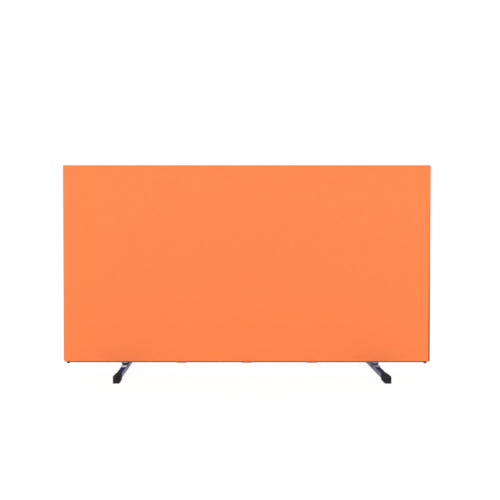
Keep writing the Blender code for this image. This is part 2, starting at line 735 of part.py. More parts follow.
def plain_ring(name, radius, bottom, top):
    """A washer or sleeve round the bolt."""
    profile = [
        (BOLT_HOLE_RADIUS, top),
        (radius, top),
        (radius, bottom),
        (BOLT_HOLE_RADIUS, bottom),
    ]
    return baked(turned(name, profile))


def spring_washer():
    """A wave washer, which keeps the foot stiff to turn."""
    half = SPRING_WASHER_THICKNESS / 2
    rings = []
    for step in range(ROUND_STEPS):
        angle = 2 * math.pi * step / ROUND_STEPS
        height = SPRING_WASHER_MIDDLE + SPRING_WASHER_WAVE * math.sin(WASHER_WAVES * angle)
        corners = (
            (BOLT_HOLE_RADIUS, height + half),
            (SPRING_WASHER_RADIUS, height + half),
            (SPRING_WASHER_RADIUS, height - half),
            (BOLT_HOLE_RADIUS, height - half),
        )
        rings.append([(r * math.cos(angle), r * math.sin(angle), z) for r, z in corners])
    return baked(loft("spring_washer", rings, closed=True))


def build_feet():
    """Both feet and the pivots that join them to the bottom rail."""
    tube, plate, cap, pin = foot_tube(), foot_plate(), rubber_cap(), rivet()
    washer = plain_ring(
        "flat_washer", FLAT_WASHER_RADIUS, WASHER_BOTTOM, WASHER_BOTTOM + FLAT_WASHER_THICKNESS
    )
    sleeve = plain_ring("crush_sleeve", SLEEVE_RADIUS, SLEEVE_BOTTOM, SLEEVE_TOP)
    pivots = (
        ("friction_washer", friction_washer(), BLACK_NYLON),
        ("swivel_boss", swivel_boss(), ZINC),
        ("pivot_bolt", pivot_bolt(), ZINC),
        ("spring_washer", spring_washer(), STEEL),
        ("crush_sleeve", sleeve, STEEL),
        ("flat_washer", washer, ZINC),
        ("lock_nut", lock_nut(), ZINC),
    )
    for side, pivot in (("left", LEFT_PIVOT), ("right", RIGHT_PIVOT)):
        axis = add_object(f"{side}_foot_pivot", None, barrier)
        axis.location = (pivot, 0, 0)
        place(f"{side}_foot_tube", tube, NAVY_PAINT, parent=axis)
        place(f"{side}_foot_plate", plate, ZINC, parent=axis)
        for end, reach, turn in (("front", -1, 0), ("rear", 1, math.pi)):
            at = (0, reach * FOOT_LENGTH / 2, 0)
            place(f"{side}_{end}_cap", cap, BLACK_RUBBER, at, (0, 0, turn), axis)
            at = (0, reach * RIVET_REACH, 0)
            place(f"{side}_{end}_rivet", pin, ZINC, at, (0, 0, turn), axis)
        for kind, mesh, finish in pivots:
            place(f"{side}_{kind}", mesh, finish, (pivot, 0, 0))


clear_scene()
barrier = make_collection("table_tennis_barrier")
cutters = make_collection("cutters")
cutters.hide_render = True
build_tubes()
build_connectors()
build_panels()
build_gussets()
build_closure_tabs()
build_feet()
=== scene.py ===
"""The looks of a table tennis barrier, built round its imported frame.

A sewn orange cover is stretched over a square tube frame, which stands on two swivel feet with
rubber caps. Metres, +Z up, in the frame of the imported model: X runs along the barrier and the
front of the cover faces -Y.
"""

import logging
import math
from collections.abc import Callable, Iterable, Sequence
from dataclasses import dataclass, replace
from enum import Enum
from itertools import product

import bmesh
import bpy
import numpy as np
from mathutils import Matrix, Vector


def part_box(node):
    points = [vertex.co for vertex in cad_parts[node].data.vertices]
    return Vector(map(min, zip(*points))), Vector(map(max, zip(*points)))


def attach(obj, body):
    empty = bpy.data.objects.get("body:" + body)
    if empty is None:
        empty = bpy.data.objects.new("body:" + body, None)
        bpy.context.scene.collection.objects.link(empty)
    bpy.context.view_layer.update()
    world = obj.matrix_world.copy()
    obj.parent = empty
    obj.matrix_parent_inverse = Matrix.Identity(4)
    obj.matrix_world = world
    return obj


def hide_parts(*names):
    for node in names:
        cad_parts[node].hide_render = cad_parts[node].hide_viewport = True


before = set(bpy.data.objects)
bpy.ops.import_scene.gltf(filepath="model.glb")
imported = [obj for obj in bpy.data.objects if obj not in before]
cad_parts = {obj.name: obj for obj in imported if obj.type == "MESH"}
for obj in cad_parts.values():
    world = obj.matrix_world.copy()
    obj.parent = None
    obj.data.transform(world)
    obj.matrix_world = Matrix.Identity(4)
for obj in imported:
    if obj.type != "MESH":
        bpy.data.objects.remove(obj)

LOG = logging.getLogger("barrier")
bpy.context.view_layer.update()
SHARP_ANGLE = math.radians(32)
WELD_DISTANCE = 0.000002

Axes = tuple[float, float, float]
Colour = tuple[float, float, float]
Point = tuple[float, float]
Profile = Sequence[Point]
Curve = Callable[[np.ndarray], np.ndarray]
Row = tuple[float | Curve, float]
Socket = bpy.types.NodeSocket
Material = bpy.types.Material
Piece = bpy.types.Object


class Named(Enum):
    """Options whose names are words in the names of pieces and nodes."""

    @property
    def label(self) -> str:
        """The option's word in such a name."""
        return self.name.lower()


class Side(Named):
    """An end of the barrier. Its value is the sign of X there."""

    LEFT = -1
    RIGHT = 1


class Face(Named):
    """A face of the cover. Its value is the sign of Y there."""

    FRONT = -1
    BACK = 1


class Tip(Named):
    """An end of a foot. Its value is the sign of Y there."""

    FRONT = -1
    REAR = 1


class Grain(Enum):
    """The two axes that a cloth's threads run along."""

    UPRIGHT = ("X", "Z")
    FLAT = ("X", "Y")
    END_ON = ("Y", "Z")


@dataclass(frozen=True)
class Mottle:
    """Patches of smooth noise on a finish.

    They are least where the noise is under low, and most where it is over high. Scale is how many
    blotches lie in a metre, detail the octaves of finer noise, and stretch draws them into streaks.
    """

    scale: float
    detail: float
    low: float
    high: float
    least: float = 0.0
    most: float = 1.0
    stretch: Axes | None = None


def shade(colour: Colour, share: float = 1.0) -> tuple[float, float, float, float]:
    """A linear colour with its alpha, made darker or lighter by a share."""
    return (*(min(1.0, part * share) for part in colour), 1.0)


class NodeWiring:
    """Short calls that add and join nodes in one tree."""

    MIX_FACTOR = 0
    MIX_FIRST = 6
    MIX_SECOND = 7
    MIX_RESULT = 2
    NOISE_SPREAD = (0.3, 0.7)

    def __init__(self, tree: bpy.types.NodeTree) -> None:
        """Starts on the tree of a material, a world or a modifier."""
        self.tree = tree

    def feed(self, socket: Socket, value: object) -> None:
        """Joins a socket to another socket, or sets its value.

        Args:
            socket: The input to fill.
            value: An output socket, or a plain value.
        """
        if isinstance(value, Socket):
            self.tree.links.new(value, socket)
        else:
            socket.default_value = value

    def add(self, kind: str, inputs: dict | None = None, **settings: object) -> bpy.types.Node:
        """Adds a node.

        Args:
            kind: The node's type name.
            inputs: Values or sockets for its inputs, by input name or index.
            **settings: The node's own properties.

        Returns:
            The new node.
        """
        node = self.tree.nodes.new(kind)
        for name, value in settings.items():
            setattr(node, name, value)
        for key, value in (inputs or {}).items():
            self.feed(node.inputs[key], value)
        return node

    def maths(self, operation: str, *values: object, clamp: bool = False) -> Socket:
        """The result of a Math node, held between 0 and 1 if clamp is set."""
        node = self.add("ShaderNodeMath", dict(enumerate(values)), operation=operation, use_clamp=clamp)
        return node.outputs[0]

    def span(
        self, value: object, low: float, high: float, to_low: float = 0.0, to_high: float = 1.0
    ) -> Socket:
        """Maps low to high smoothly onto to_low to to_high, and holds it at the ends."""
        inputs = {"Value": value, 1: low, 2: high, 3: to_low, 4: to_high}
        return self.add("ShaderNodeMapRange", inputs, interpolation_type="SMOOTHSTEP").outputs["Result"]

    def mix(self, share: object, first: object, second: object) -> Socket:
        """Mixes two colours, share being how much of the second one shows."""
        inputs = {self.MIX_FACTOR: share, self.MIX_FIRST: first, self.MIX_SECOND: second}
        return self.add("ShaderNodeMix", inputs, data_type="RGBA").outputs[self.MIX_RESULT]

    def shaded(self, share: Socket, colour: Colour, shades: Point) -> Socket:
        """A colour that goes from the first of two shades to the second."""
        return self.mix(share, *(shade(colour, part) for part in shades))

    def place(self, **mapping: Axes) -> Socket:
        """The surface point in the part's own frame.

        Args:
            **mapping: The Location and Scale that it is moved and stretched by, if any.

        Returns:
            The point.
        """
        point = self.add("ShaderNodeTexCoord").outputs["Object"]
        if not mapping:
            return point
        return self.add("ShaderNodeMapping", {"Vector": point, **mapping}).outputs["Vector"]

    def axes(self, vector: Socket) -> Sequence[Socket]:
        """The X, Y and Z of a vector, which go by these names too."""
        return self.add("ShaderNodeSeparateXYZ", {"Vector": vector}).outputs

    def noise(self, scale: float, detail: float, stretch: Axes | None = None) -> Socket:
        """Smooth noise between 0 and 1, its terms as in Mottle."""
        point = self.place(Scale=stretch) if stretch else self.place()
        return self.add("ShaderNodeTexNoise", {"Vector": point, "Scale": scale, "Detail": detail}).outputs[0]

    def spread(self, noise: Socket, low: float, high: float) -> Socket:
        """Noise drawn out over a range, since it seldom reaches 0 or 1."""
        return self.span(noise, *self.NOISE_SPREAD, low, high)

    def mottled(self, mottle: Mottle) -> Socket:
        """The strength of a mottle's patches."""
        noise = self.noise(mottle.scale, mottle.detail, mottle.stretch)
        return self.span(noise, mottle.low, mottle.high, mottle.least, mottle.most)

    def waves(
        self, point: Socket, scale: float, bend: float, detail: float = 2.0, **settings: str
    ) -> Socket:
        """Even waves between 0 and 1, bent by noise, their shape given by the node's settings."""
        inputs = {"Vector": point, "Scale": scale, "Distortion": bend, "Detail": detail}
        return self.add("ShaderNodeTexWave", inputs, **settings).outputs[1]

    def bump(self, height: object, depth: float, under: Socket | None = None) -> Socket:
        """A bumped normal.

        Args:
            height: The relief, from 0 to 1.
            depth: How deep a full step of the relief is, in metres.
            under: A normal that this relief lies on.

        Returns:
            The normal.
        """
        inputs = {"Height": height, "Distance": depth}
        if under is not None:
            inputs["Normal"] = under
        return self.add("ShaderNodeBump", inputs).outputs["Normal"]


class Surface(NodeWiring):
    """A material being made, its Principled shader ready to be fed."""

    DUSTY_SLOPE = (0.4, 0.95)
    TONGUE_NOISE = (160, 4)
    TONGUE_DEPTH = 0.004

    def __init__(self, name: str) -> None:
        """Makes an empty material.

        Args:
            name: The material's name.
        """
        self.material = bpy.data.materials.new(name)
        self.material.use_nodes = True
        super().__init__(self.material.node_tree)
        self.shader = self.tree.nodes["Principled BSDF"]

    def upward(self) -> Socket:
        """How far the surface faces up, where dust settles: 0 on a side, 1 on a top."""
        normal = self.add("ShaderNodeNewGeometry").outputs["Normal"]
        return self.span(self.axes(normal)["Z"], *self.DUSTY_SLOPE)

    def from_pivot(self, pivot: float) -> Socket:
        """The surface point seen from the upright pivot at this X, its height left out."""
        return self.place(Location=(-pivot, 0, 0), Scale=(1, 1, 0))

    def grease(self, pivot: float, reach: float) -> Socket:
        """Painted shade round an upright pivot, under the rail, with a ragged edge.

        Args:
            pivot: The X of the pivot's axis.
            reach: How far out the painted shade reaches.

        Returns:
            1 where the shade is painted, else 0.
        """
        length = self.add("ShaderNodeVectorMath", {0: self.from_pivot(pivot)}, operation="LENGTH")
        tongues = self.noise(*self.TONGUE_NOISE)
        edge = self.maths("MULTIPLY_ADD", tongues, self.TONGUE_DEPTH, length.outputs["Value"])
        return self.span(edge, reach, reach + self.TONGUE_DEPTH, 1.0, 0.0)

    def finish(
        self,
        colour: Colour,
        paint: Socket,
        gloss: Socket,
        normal: Socket,
        shine: object,
        metallic: object = 0.0,
    ) -> Material:
        """Feeds the shader.

        Args:
            colour: The plain colour for solid views.
            paint: The surface's colour.
            gloss: Its roughness.
            normal: Its bumped normal.
            shine: Its specular level.
            metallic: How far it is a bare metal.

        Returns:
            The material.
        """
        self.material.diffuse_color = (*colour, 1)
        names = ("Base Color", "Roughness", "Normal", "Specular IOR Level", "Metallic")
        for name, value in zip(names, (paint, gloss, normal, shine, metallic)):
            self.feed(self.shader.inputs[name], value)
        return self.material


@dataclass(frozen=True)
class WovenCloth:
    """Coated oxford cloth: a plain weave that shows through a thin coating.

    Painted shade lies along the hem's lower edge and down the edge of the right end, most of it low down.
    """

    colour: Colour = (0.990, 0.240, 0.066)
    thread_pitch: float = 0.0006
    thread_relief: float = 0.00005
    thread_sag: Point = (0.4, 0.6)
    thread_painted_shades: Point = (0.90, 1.0)
    blotches: Mottle = Mottle(5, 3, 0.35, 0.65, 0.0, 0.05)
    blotch_shade: float = 0.86
    streaks: Mottle = Mottle(1, 1, 0.45, 0.75, 0.0, 0.06, (900, 900, 14))
    streak_shade: float = 1.12
    coating_noise: Point = (420, 2)
    coating_relief: float = 0.00006
    gloss: Mottle = Mottle(60, 3, 0.3, 0.7, 0.58, 0.70)
    shine: float = 0.28
    # Painted shade along the hem's lower edge and down the right end's edge.
    painted_shade: Colour = (0.20, 0.085, 0.060)
    painted_shade_noise: Point = (240, 4)
    painted_shade_rise: float = 0.0045
    painted_shade_shares: Point = (0.4, 1.4)
    painted_shade_strength: float = 0.75
    end_shade_width: float = 0.0085
    end_shade_edge: Point = (0.0070, 0.0105)
    end_shade_heights: Point = (0.10, 0.70)
    end_shade_share: float = 0.95

    def weave(self, wiring: NodeWiring, grain: Grain) -> Socket:
        """Threads that pass over and under each other.

        Args:
            wiring: The tree to add to.
            grain: The axes that the threads run along.

        Returns:
            The weave's height, 0 in the gaps and 1 on the crowns.
        """
        point = wiring.axes(wiring.place())
        crowns = []
        cells = []
        for axis in grain.value:
            across = wiring.maths("DIVIDE", point[axis], self.thread_pitch)
            cells.append(wiring.maths("FLOOR", across))
            offset = wiring.maths("SUBTRACT", wiring.maths("FRACT", across), 0.5)
            doubled = wiring.maths("MULTIPLY", offset, 2)
            crowns.append(wiring.maths("SUBTRACT", 1, wiring.maths("MULTIPLY", doubled, doubled)))
        sides = []
        for top, under in (crowns, reversed(crowns)):
            sag = wiring.maths("MULTIPLY_ADD", under, *self.thread_sag)
            sides.append(wiring.maths("MULTIPLY", top, sag))
        odd = wiring.maths("FLOORED_MODULO", wiring.maths("ADD", *cells), 2)
        gain = wiring.maths("MULTIPLY", odd, wiring.maths("SUBTRACT", sides[1], sides[0]))
        return wiring.maths("ADD", sides[0], gain)

    def dirt(self, surface: Surface, hem: float, reach: float) -> Socket:
        """Where painted shade darkens the cover.

        Args:
            surface: The material to add to.
            hem: The height of the cover's lower edge.
            reach: The X of its right end.

        Returns:
            How much painted shade lies there, from 0 to 1.
        """
        along, deep, up = surface.axes(surface.place())
        # Painted shade along the hem's lower edge, with a ragged top.
        ragged = surface.maths("MULTIPLY_ADD", surface.noise(*self.painted_shade_noise), self.painted_shade_rise, up)
        low, high = (hem + self.painted_shade_rise * share for share in self.painted_shade_shares)
        at_hem = surface.span(ragged, low, high, self.painted_shade_strength, 0.0)
        # Painted shade down the right end's edge, fading upwards.
        from_end = surface.span(along, reach - self.end_shade_width, reach - self.end_shade_width / 2)
        from_side = surface.span(surface.maths("ABSOLUTE", deep), *self.end_shade_edge)
        painted_light = surface.span(up, *self.end_shade_heights, self.end_shade_share, 0.0)
        at_end = surface.maths("MULTIPLY", surface.maths("MULTIPLY", from_end, from_side), painted_light)
        return surface.maths("MAXIMUM", at_hem, at_end)

    def make(self, name: str, grain: Grain, hem: float, reach: float) -> Material:
        """The cloth's material.

        Args:
            name: The material's name.
            grain: The axes that the threads run along.
            hem: The height of the cover's lower edge.
            reach: The X of its right end.

        Returns:
            The material.
        """
        surface = Surface(name)
        height = self.weave(surface, grain)
        # Painted shade: the weave's gaps are darker than its crowns.
        tone_and_painted_shade = surface.shaded(height, self.colour, self.thread_painted_shades)
        tone_and_painted_shade = surface.mix(surface.mottled(self.blotches), tone_and_painted_shade, shade(self.colour, self.blotch_shade))
        tone_and_painted_shade = surface.mix(surface.mottled(self.streaks), tone_and_painted_shade, shade(self.colour, self.streak_shade))
        # Painted shade along the hem and down the right end.
        tone_and_painted_shade = surface.mix(self.dirt(surface, hem, reach), tone_and_painted_shade, shade(self.painted_shade))
        threads = surface.bump(height, self.thread_relief)
        coating = surface.bump(surface.noise(*self.coating_noise), self.coating_relief, threads)
        return surface.finish(self.colour, tone_and_painted_shade, surface.mottled(self.gloss), coating, self.shine)


@dataclass(frozen=True)
class Webbing:
    """Flat woven strap: ribs along it with a twill between them, painted shade in the grooves and painted
    highlight on the crowns, and dark patches of painted shade all over.
    """

    colour: Colour = (0.90, 0.215, 0.055)
    rib_pitch: float = 0.0019
    rib_painted_shades: Point = (0.6, 1.5)
    relief: float = 0.0002
    fibre_noise: Point = (2600, 2)
    gloss: Point = (0.75, 0.92)
    shine: float = 0.3
    painted_shade: Colour = (0.16, 0.075, 0.060)
    shade_patches: Mottle = Mottle(160, 4, 0.3, 0.7, 0.35, 0.70)

    def make(self, name: str) -> Material:
        """The strap's material.

        Args:
            name: The material's name.

        Returns:
            The material.
        """
        surface = Surface(name)
        point = surface.axes(surface.place())
        turns = 2 * math.pi / self.rib_pitch
        rib = surface.maths("SINE", surface.maths("MULTIPLY", point["X"], turns))
        slant = surface.maths("ADD", point["Y"], point["X"])
        twill = surface.maths("SINE", surface.maths("MULTIPLY", slant, 2 * turns))
        height = surface.maths("MULTIPLY_ADD", surface.maths("ADD", rib, twill), 0.25, 0.5)
        fibre = surface.noise(*self.fibre_noise)
        # Painted shade in the grooves, painted highlight on the ribs' crowns.
        tone_and_painted_shade = surface.shaded(height, self.colour, self.rib_painted_shades)
        # Dark patches of painted shade over the whole strap, for the strip that shows under the rail.
        tone_and_painted_shade = surface.mix(surface.mottled(self.shade_patches), tone_and_painted_shade, shade(self.painted_shade))
        normal = surface.bump(fibre, self.relief / 4, surface.bump(height, self.relief))
        gloss = surface.spread(fibre, *self.gloss)
        return surface.finish(self.colour, tone_and_painted_shade, gloss, normal, self.shine)


@dataclass(frozen=True)
class SewingThread:
    """Twisted polyester thread."""

    colour: Colour = (0.93, 0.22, 0.055)
    twist_pitch: float = 0.0008
    twist_bend: float = 1.0
    twist_painted_shades: Point = (0.82, 1.0)
    relief: float = 0.00006
    gloss: Mottle = Mottle(1500, 2, 0.3, 0.7, 0.5, 0.68)
    shine: float = 0.35

    def make(self, name: str) -> Material:
        """The thread's material.

        Args:
            name: The material's name.

        Returns:
            The material.
        """
        surface = Surface(name)
        scale = 1 / self.twist_pitch
        twist = surface.waves(surface.place(), scale, self.twist_bend, bands_direction="DIAGONAL")
        # Painted shade in the grooves of the twist.
        tone_and_painted_shade = surface.shaded(twist, self.colour, self.twist_painted_shades)
        normal = surface.bump(twist, self.relief)
        return surface.finish(self.colour, tone_and_painted_shade, surface.mottled(self.gloss), normal, self.shine)


@dataclass(frozen=True)
class PowderCoat:
    """Navy powder coat with a light orange peel, fine rubbed marks and dusty tops.

    Painted shade darkens it round the pivot, under the rail, as far out as its set reach.
    """

    colour: Colour = (0.018, 0.026, 0.105)
    clouds: Mottle = Mottle(18, 3, 0.35, 0.65)
    cloud_shades: Point = (0.86, 1.12)
    rubs: Mottle = Mottle(34, 6, 0.66, 0.76, 0.0, 0.35, (1, 0.25, 1))
    rubbed: Colour = (0.085, 0.085, 0.125)
    rubbed_gloss: float = 0.5
    peel_noise: Point = (700, 2)
    peel_relief: float = 0.00003
    gloss: Mottle = Mottle(90, 4, 0.3, 0.75, 0.26, 0.38)
    shine: float = 0.32
    dusty_gloss: float = 0.24
    dusty_shine: float = 0.02
    grease_reach: float = 0.0
    grease: Colour = (0.050, 0.047, 0.052)
    grease_share: float = 0.75

    def make(self, name: str, pivot: float = 0.0) -> Material:
        """The paint's material.

        Args:
            name: The material's name.
            pivot: The X of the upright axis that the painted shade lies round.

        Returns:
            The material.
        """
        surface = Surface(name)
        paint = surface.shaded(surface.mottled(self.clouds), self.colour, self.cloud_shades)
        rubbed = surface.mottled(self.rubs)
        paint = surface.mix(rubbed, paint, shade(self.rubbed))
        gloss = surface.maths("MULTIPLY_ADD", rubbed, self.rubbed_gloss, surface.mottled(self.gloss))
        top = surface.upward()
        gloss = surface.maths("MULTIPLY_ADD", top, self.dusty_gloss, gloss)
        shine = surface.span(top, 0.0, 1.0, self.shine, self.dusty_shine)
        # Painted shade round the pivot, under the rail, darkens the paint and takes away its shine.
        pivot_shaded = surface.maths("MULTIPLY", surface.grease(pivot, self.grease_reach), self.grease_share)
        paint = surface.mix(pivot_shaded, paint, shade(self.grease))
        shine = surface.maths("MULTIPLY", shine, surface.maths("SUBTRACT", 1, pivot_shaded))
        normal = surface.bump(surface.noise(*self.peel_noise), self.peel_relief)
        return surface.finish(self.colour, paint, gloss, normal, shine)


@dataclass(frozen=True)
class MouldedPlastic:
    """Injection moulded plastic with a fine sparked grain, flow marks and scuffs."""

    colour: Colour = (0.028, 0.026, 0.078)
    flow: Mottle = Mottle(60, 3, 0.35, 0.7, stretch=(1, 1, 0.3))
    flow_shades: Point = (0.85, 1.2)
    scuffs: Mottle = Mottle(160, 5, 0.62, 0.74, 0.0, 0.4)
    scuff_shade: float = 2.4
    grain_noise: Point = (1600, 3)
    grain_relief: float = 0.00005
    grain_gloss: float = 0.16
    roughness: float = 0.45
    shine: float = 0.4

    def make(self, name: str) -> Material:
        """The plastic's material.

        Args:
            name: The material's name.

        Returns:
            The material.
        """
        surface = Surface(name)
        tint = surface.shaded(surface.mottled(self.flow), self.colour, self.flow_shades)
        tint = surface.mix(surface.mottled(self.scuffs), tint, shade(self.colour, self.scuff_shade))
        grain = surface.noise(*self.grain_noise)
        smoothest = self.roughness - self.grain_gloss / 2
        gloss = surface.maths("MULTIPLY_ADD", grain, self.grain_gloss, smoothest)
        return surface.finish(self.colour, tint, gloss, surface.bump(grain, self.grain_relief), self.shine)


@dataclass(frozen=True)
class TurnedNylon:
    """Black nylon with the fine rings that a lathe leaves."""

    colour: Colour = (0.012, 0.012, 0.015)
    wear: Mottle = Mottle(240, 4, 0.4, 0.7)
    wear_shades: Point = (0.9, 1.9)
    ring_pitch: float = 0.0005
    ring_bend: float = 0.4
    ring_gloss: Point = (0.12, 0.42)
    relief: float = 0.00003
    shine: float = 0.12

    def make(self, name: str, centre: Point) -> Material:
        """The nylon's material.

        Args:
            name: The material's name.
            centre: The X and Y of the axis that it was turned about.

        Returns:
            The material.
        """
        surface = Surface(name)
        moved = surface.place(Location=(-centre[0], -centre[1], 0))
        shape = {"wave_type": "RINGS", "rings_direction": "SPHERICAL"}
        rings = surface.waves(moved, 1 / self.ring_pitch, self.ring_bend, **shape)
        tint = surface.shaded(surface.mottled(self.wear), self.colour, self.wear_shades)
        gloss = surface.maths("MULTIPLY_ADD", rings, *self.ring_gloss)
        return surface.finish(self.colour, tint, gloss, surface.bump(rings, self.relief), self.shine)


@dataclass(frozen=True)
class Rubber:
    """Black moulded rubber, greyed by dust low down and scuffed all over."""

    colour: Colour = (0.0180, 0.0218, 0.0240)
    bloom: Mottle = Mottle(70, 4, 0.35, 0.7)
    bloom_shades: Point = (0.8, 1.8)
    dust: Colour = (0.060, 0.062, 0.060)
    dust_height: float = 0.004
    dust_share: float = 0.30
    scuffs: Mottle = Mottle(380, 5, 0.60, 0.72, 0.0, 0.20, (1, 1, 0.4))
    skin_noise: Point = (1400, 3)
    relief: float = 0.00008
    gloss: Point = (0.68, 0.86)
    shine: float = 0.03

    def make(self, name: str) -> Material:
        """The rubber's material.

        Args:
            name: The material's name.

        Returns:
            The material.
        """
        surface = Surface(name)
        tint = surface.shaded(surface.mottled(self.bloom), self.colour, self.bloom_shades)
        up = surface.axes(surface.place())["Z"]
        low = surface.span(up, 0.0, self.dust_height, self.dust_share, 0.0)
        dusty = surface.maths("ADD", low, surface.mottled(self.scuffs), clamp=True)
        tint = surface.mix(dusty, tint, shade(self.dust))
        skin = surface.noise(*self.skin_noise)
        gloss = surface.spread(skin, *self.gloss)
        return surface.finish(self.colour, tint, gloss, surface.bump(skin, self.relief), self.shine)


@dataclass(frozen=True)
class PlatedMetal:
    """Plated or bright steel, brushed along one direction and rubbed in rings about a pivot.

    Painted shade darkens it near the pivot, as far out as its set reach and as high as its set top.
    """

    colour: Colour = (0.50, 0.70, 0.90)
    warm: Colour = (0.56, 0.66, 0.72)
    film: Mottle = Mottle(85, 3, 0.42, 0.72, 0.0, 0.55)
    brush_noise: tuple[float, float, Axes] = (1500, 2, (1.0, 0.03, 1.0))
    brush_strength: float = 0.22
    brush_gloss: float = 0.22
    brush_shade: float = 0.62
    ring_scale: float = 900
    ring_bend: float = 2.5
    ring_detail: float = 3
    ring_gloss: float = 0.12
    rubs: Mottle = Mottle(120, 3, 0.4, 0.65)
    relief: float = 0.00002
    roughness: float = 0.52
    metallic: float = 0.35
    shine: float = 0.5
    grease_reach: float = 0.0
    grease_top: float = 1.0
    grease: Colour = (0.022, 0.024, 0.030)
    grease_gloss: float = 0.2
    grease_shine: float = 0.1
    ragged_top: float = 0.0004

    def make(self, name: str, pivot: float) -> Material:
        """The metal's material.

        Args:
            name: The material's name.
            pivot: The X of the upright axis that the rubbed rings run round.

        Returns:
            The material.
        """
        surface = Surface(name)
        lines = surface.noise(*self.brush_noise)
        plate = surface.mix(surface.mottled(self.film), shade(self.colour), shade(self.warm))
        brushed = surface.spread(lines, 0.0, self.brush_strength)
        plate = surface.mix(brushed, plate, shade(self.colour, self.brush_shade))
        shape = {"wave_type": "RINGS", "rings_direction": "Z"}
        seen = surface.from_pivot(pivot)
        rings = surface.waves(seen, self.ring_scale, self.ring_bend, self.ring_detail, **shape)
        rubbed = surface.maths("MULTIPLY", rings, surface.mottled(self.rubs))
        smoothest = self.roughness - self.brush_gloss / 2
        gloss = surface.maths("MULTIPLY_ADD", lines, self.brush_gloss, smoothest)
        gloss = surface.maths("MULTIPLY_ADD", rubbed, self.ring_gloss, gloss)
        normal = surface.bump(rubbed, self.relief, surface.bump(lines, self.relief))
        # Painted shade round the pivot, below a set height, darkens the metal and dulls it.
        up = surface.axes(surface.place())["Z"]
        low = surface.span(up, self.grease_top - self.ragged_top, self.grease_top, 1.0, 0.0)
        pivot_shaded = surface.maths("MULTIPLY", surface.grease(pivot, self.grease_reach), low)
        plate = surface.mix(pivot_shaded, plate, shade(self.grease))
        gloss = surface.maths("MULTIPLY_ADD", pivot_shaded, self.grease_gloss, gloss)
        metallic = surface.span(pivot_shaded, 0.0, 1.0, self.metallic, 0.0)
        shine = surface.span(pivot_shaded, 0.0, 1.0, self.shine, self.grease_shine)
        return surface.finish(self.colour, plate, gloss, normal, shine, metallic)


@dataclass(frozen=True)
class Finishes:
    """Every finish on the barrier."""

    cloth: WovenCloth = WovenCloth()
    webbing: Webbing = Webbing()
    thread: SewingThread = SewingThread()
    paint: PowderCoat = PowderCoat()
    plastic: MouldedPlastic = MouldedPlastic()
    nylon: TurnedNylon = TurnedNylon()
    rubber: Rubber = Rubber()
    plate_zinc: PlatedMetal = PlatedMetal()
    zinc: PlatedMetal = PlatedMetal((0.58, 0.61, 0.66), (0.60, 0.59, 0.56), roughness=0.36, metallic=0.9)
    steel: PlatedMetal = PlatedMetal((0.42, 0.43, 0.45), (0.40, 0.37, 0.33), roughness=0.38, metallic=1)
    nut_ring: MouldedPlastic = MouldedPlastic((0.05, 0.13, 0.42), roughness=0.4)


@dataclass(frozen=True)
class PivotPaintedLight:
    """Painted light on one pivot: painted shade round it, and the painted brightness of its plated steel."""

    boss_colour: Colour
    plate_light_share: float
    plate_grease: float
    boss_grease: float = 0.0
    boss_grease_rise: float = 0.0

    def boss(self, untouched: PlatedMetal, foot: float) -> PlatedMetal:
        """The metal of a boss with its foot at this height, in its painted colour and with painted shade low
        down.
        """
        spread = {"grease_reach": self.boss_grease, "grease_top": foot + self.boss_grease_rise}
        return replace(untouched, colour=self.boss_colour, warm=self.boss_colour, **spread)

    def plate(self, untouched: PlatedMetal) -> PlatedMetal:
        """The plate's metal, its colour scaled by painted light, with painted shade round the pivot."""
        colour, warm = (shade(part, self.plate_light_share)[:3] for part in (untouched.colour, untouched.warm))
        return replace(untouched, colour=colour, warm=warm, grease_reach=self.plate_grease)

    def paint(self, untouched: PowderCoat) -> PowderCoat:
        """The foot tube's paint, with painted shade round the pivot."""
        return replace(untouched, grease_reach=self.plate_grease)


# Painted light: the left boss is painted near white as a painted highlight and its plate a touch lighter as a
# painted reflection; the right boss and plate are painted darker as painted shade.
PIVOT_PAINTED_LIGHT = {
    Side.LEFT: PivotPaintedLight(
        boss_colour=(0.95, 0.93, 0.90),
        plate_light_share=1.05,
        plate_grease=0.0262,
        boss_grease=0.020,
        boss_grease_rise=0.0022,
    ),
    Side.RIGHT: PivotPaintedLight(boss_colour=(0.46, 0.53, 0.62), plate_light_share=0.36, plate_grease=0.0225),
}


def dress(obj: Piece, material: Material) -> None:
    """Puts a material in the object's first slot.

    Args:
        obj: The piece, or a node of the frame.
        material: Its new finish.
    """
    if obj.material_slots:
        obj.material_slots[0].material = material
    else:
        obj.data.materials.append(material)


def placed(name: str, data: bpy.types.ID) -> Piece:
    """A new object in the scene.

    Args:
        name: Its name.
        data: Its mesh, lamp or camera.

    Returns:
        The object.
    """
    obj = bpy.data.objects.new(name, data)
    bpy.context.scene.collection.objects.link(obj)
    return obj


def soften(mesh: bpy.types.Mesh) -> None:
    """Shades a mesh smooth, but for its sharp edges."""
    mesh.shade_smooth()
    mesh.set_sharp_from_angle(angle=SHARP_ANGLE)


def mesh_piece(name: str, points: np.ndarray, faces: Iterable[Sequence[int]]) -> Piece:
    """A smooth shaded piece from points and faces, its faces turned outwards.

    Args:
        name: The piece's name.
        points: One row of X, Y and Z for each point.
        faces: The corners of each face.

    Returns:
        The new object, in the scene.
    """
    mesh = bpy.data.meshes.new(name)
    mesh.from_pydata(np.asarray(points).tolist(), [], [tuple(map(int, face)) for face in faces])
    edit = bmesh.new()
    edit.from_mesh(mesh)
    bmesh.ops.remove_doubles(edit, verts=edit.verts, dist=WELD_DISTANCE)
    bmesh.ops.recalc_face_normals(edit, faces=edit.faces)
    edit.to_mesh(mesh)
    edit.free()
    soften(mesh)
    return placed(name, mesh)


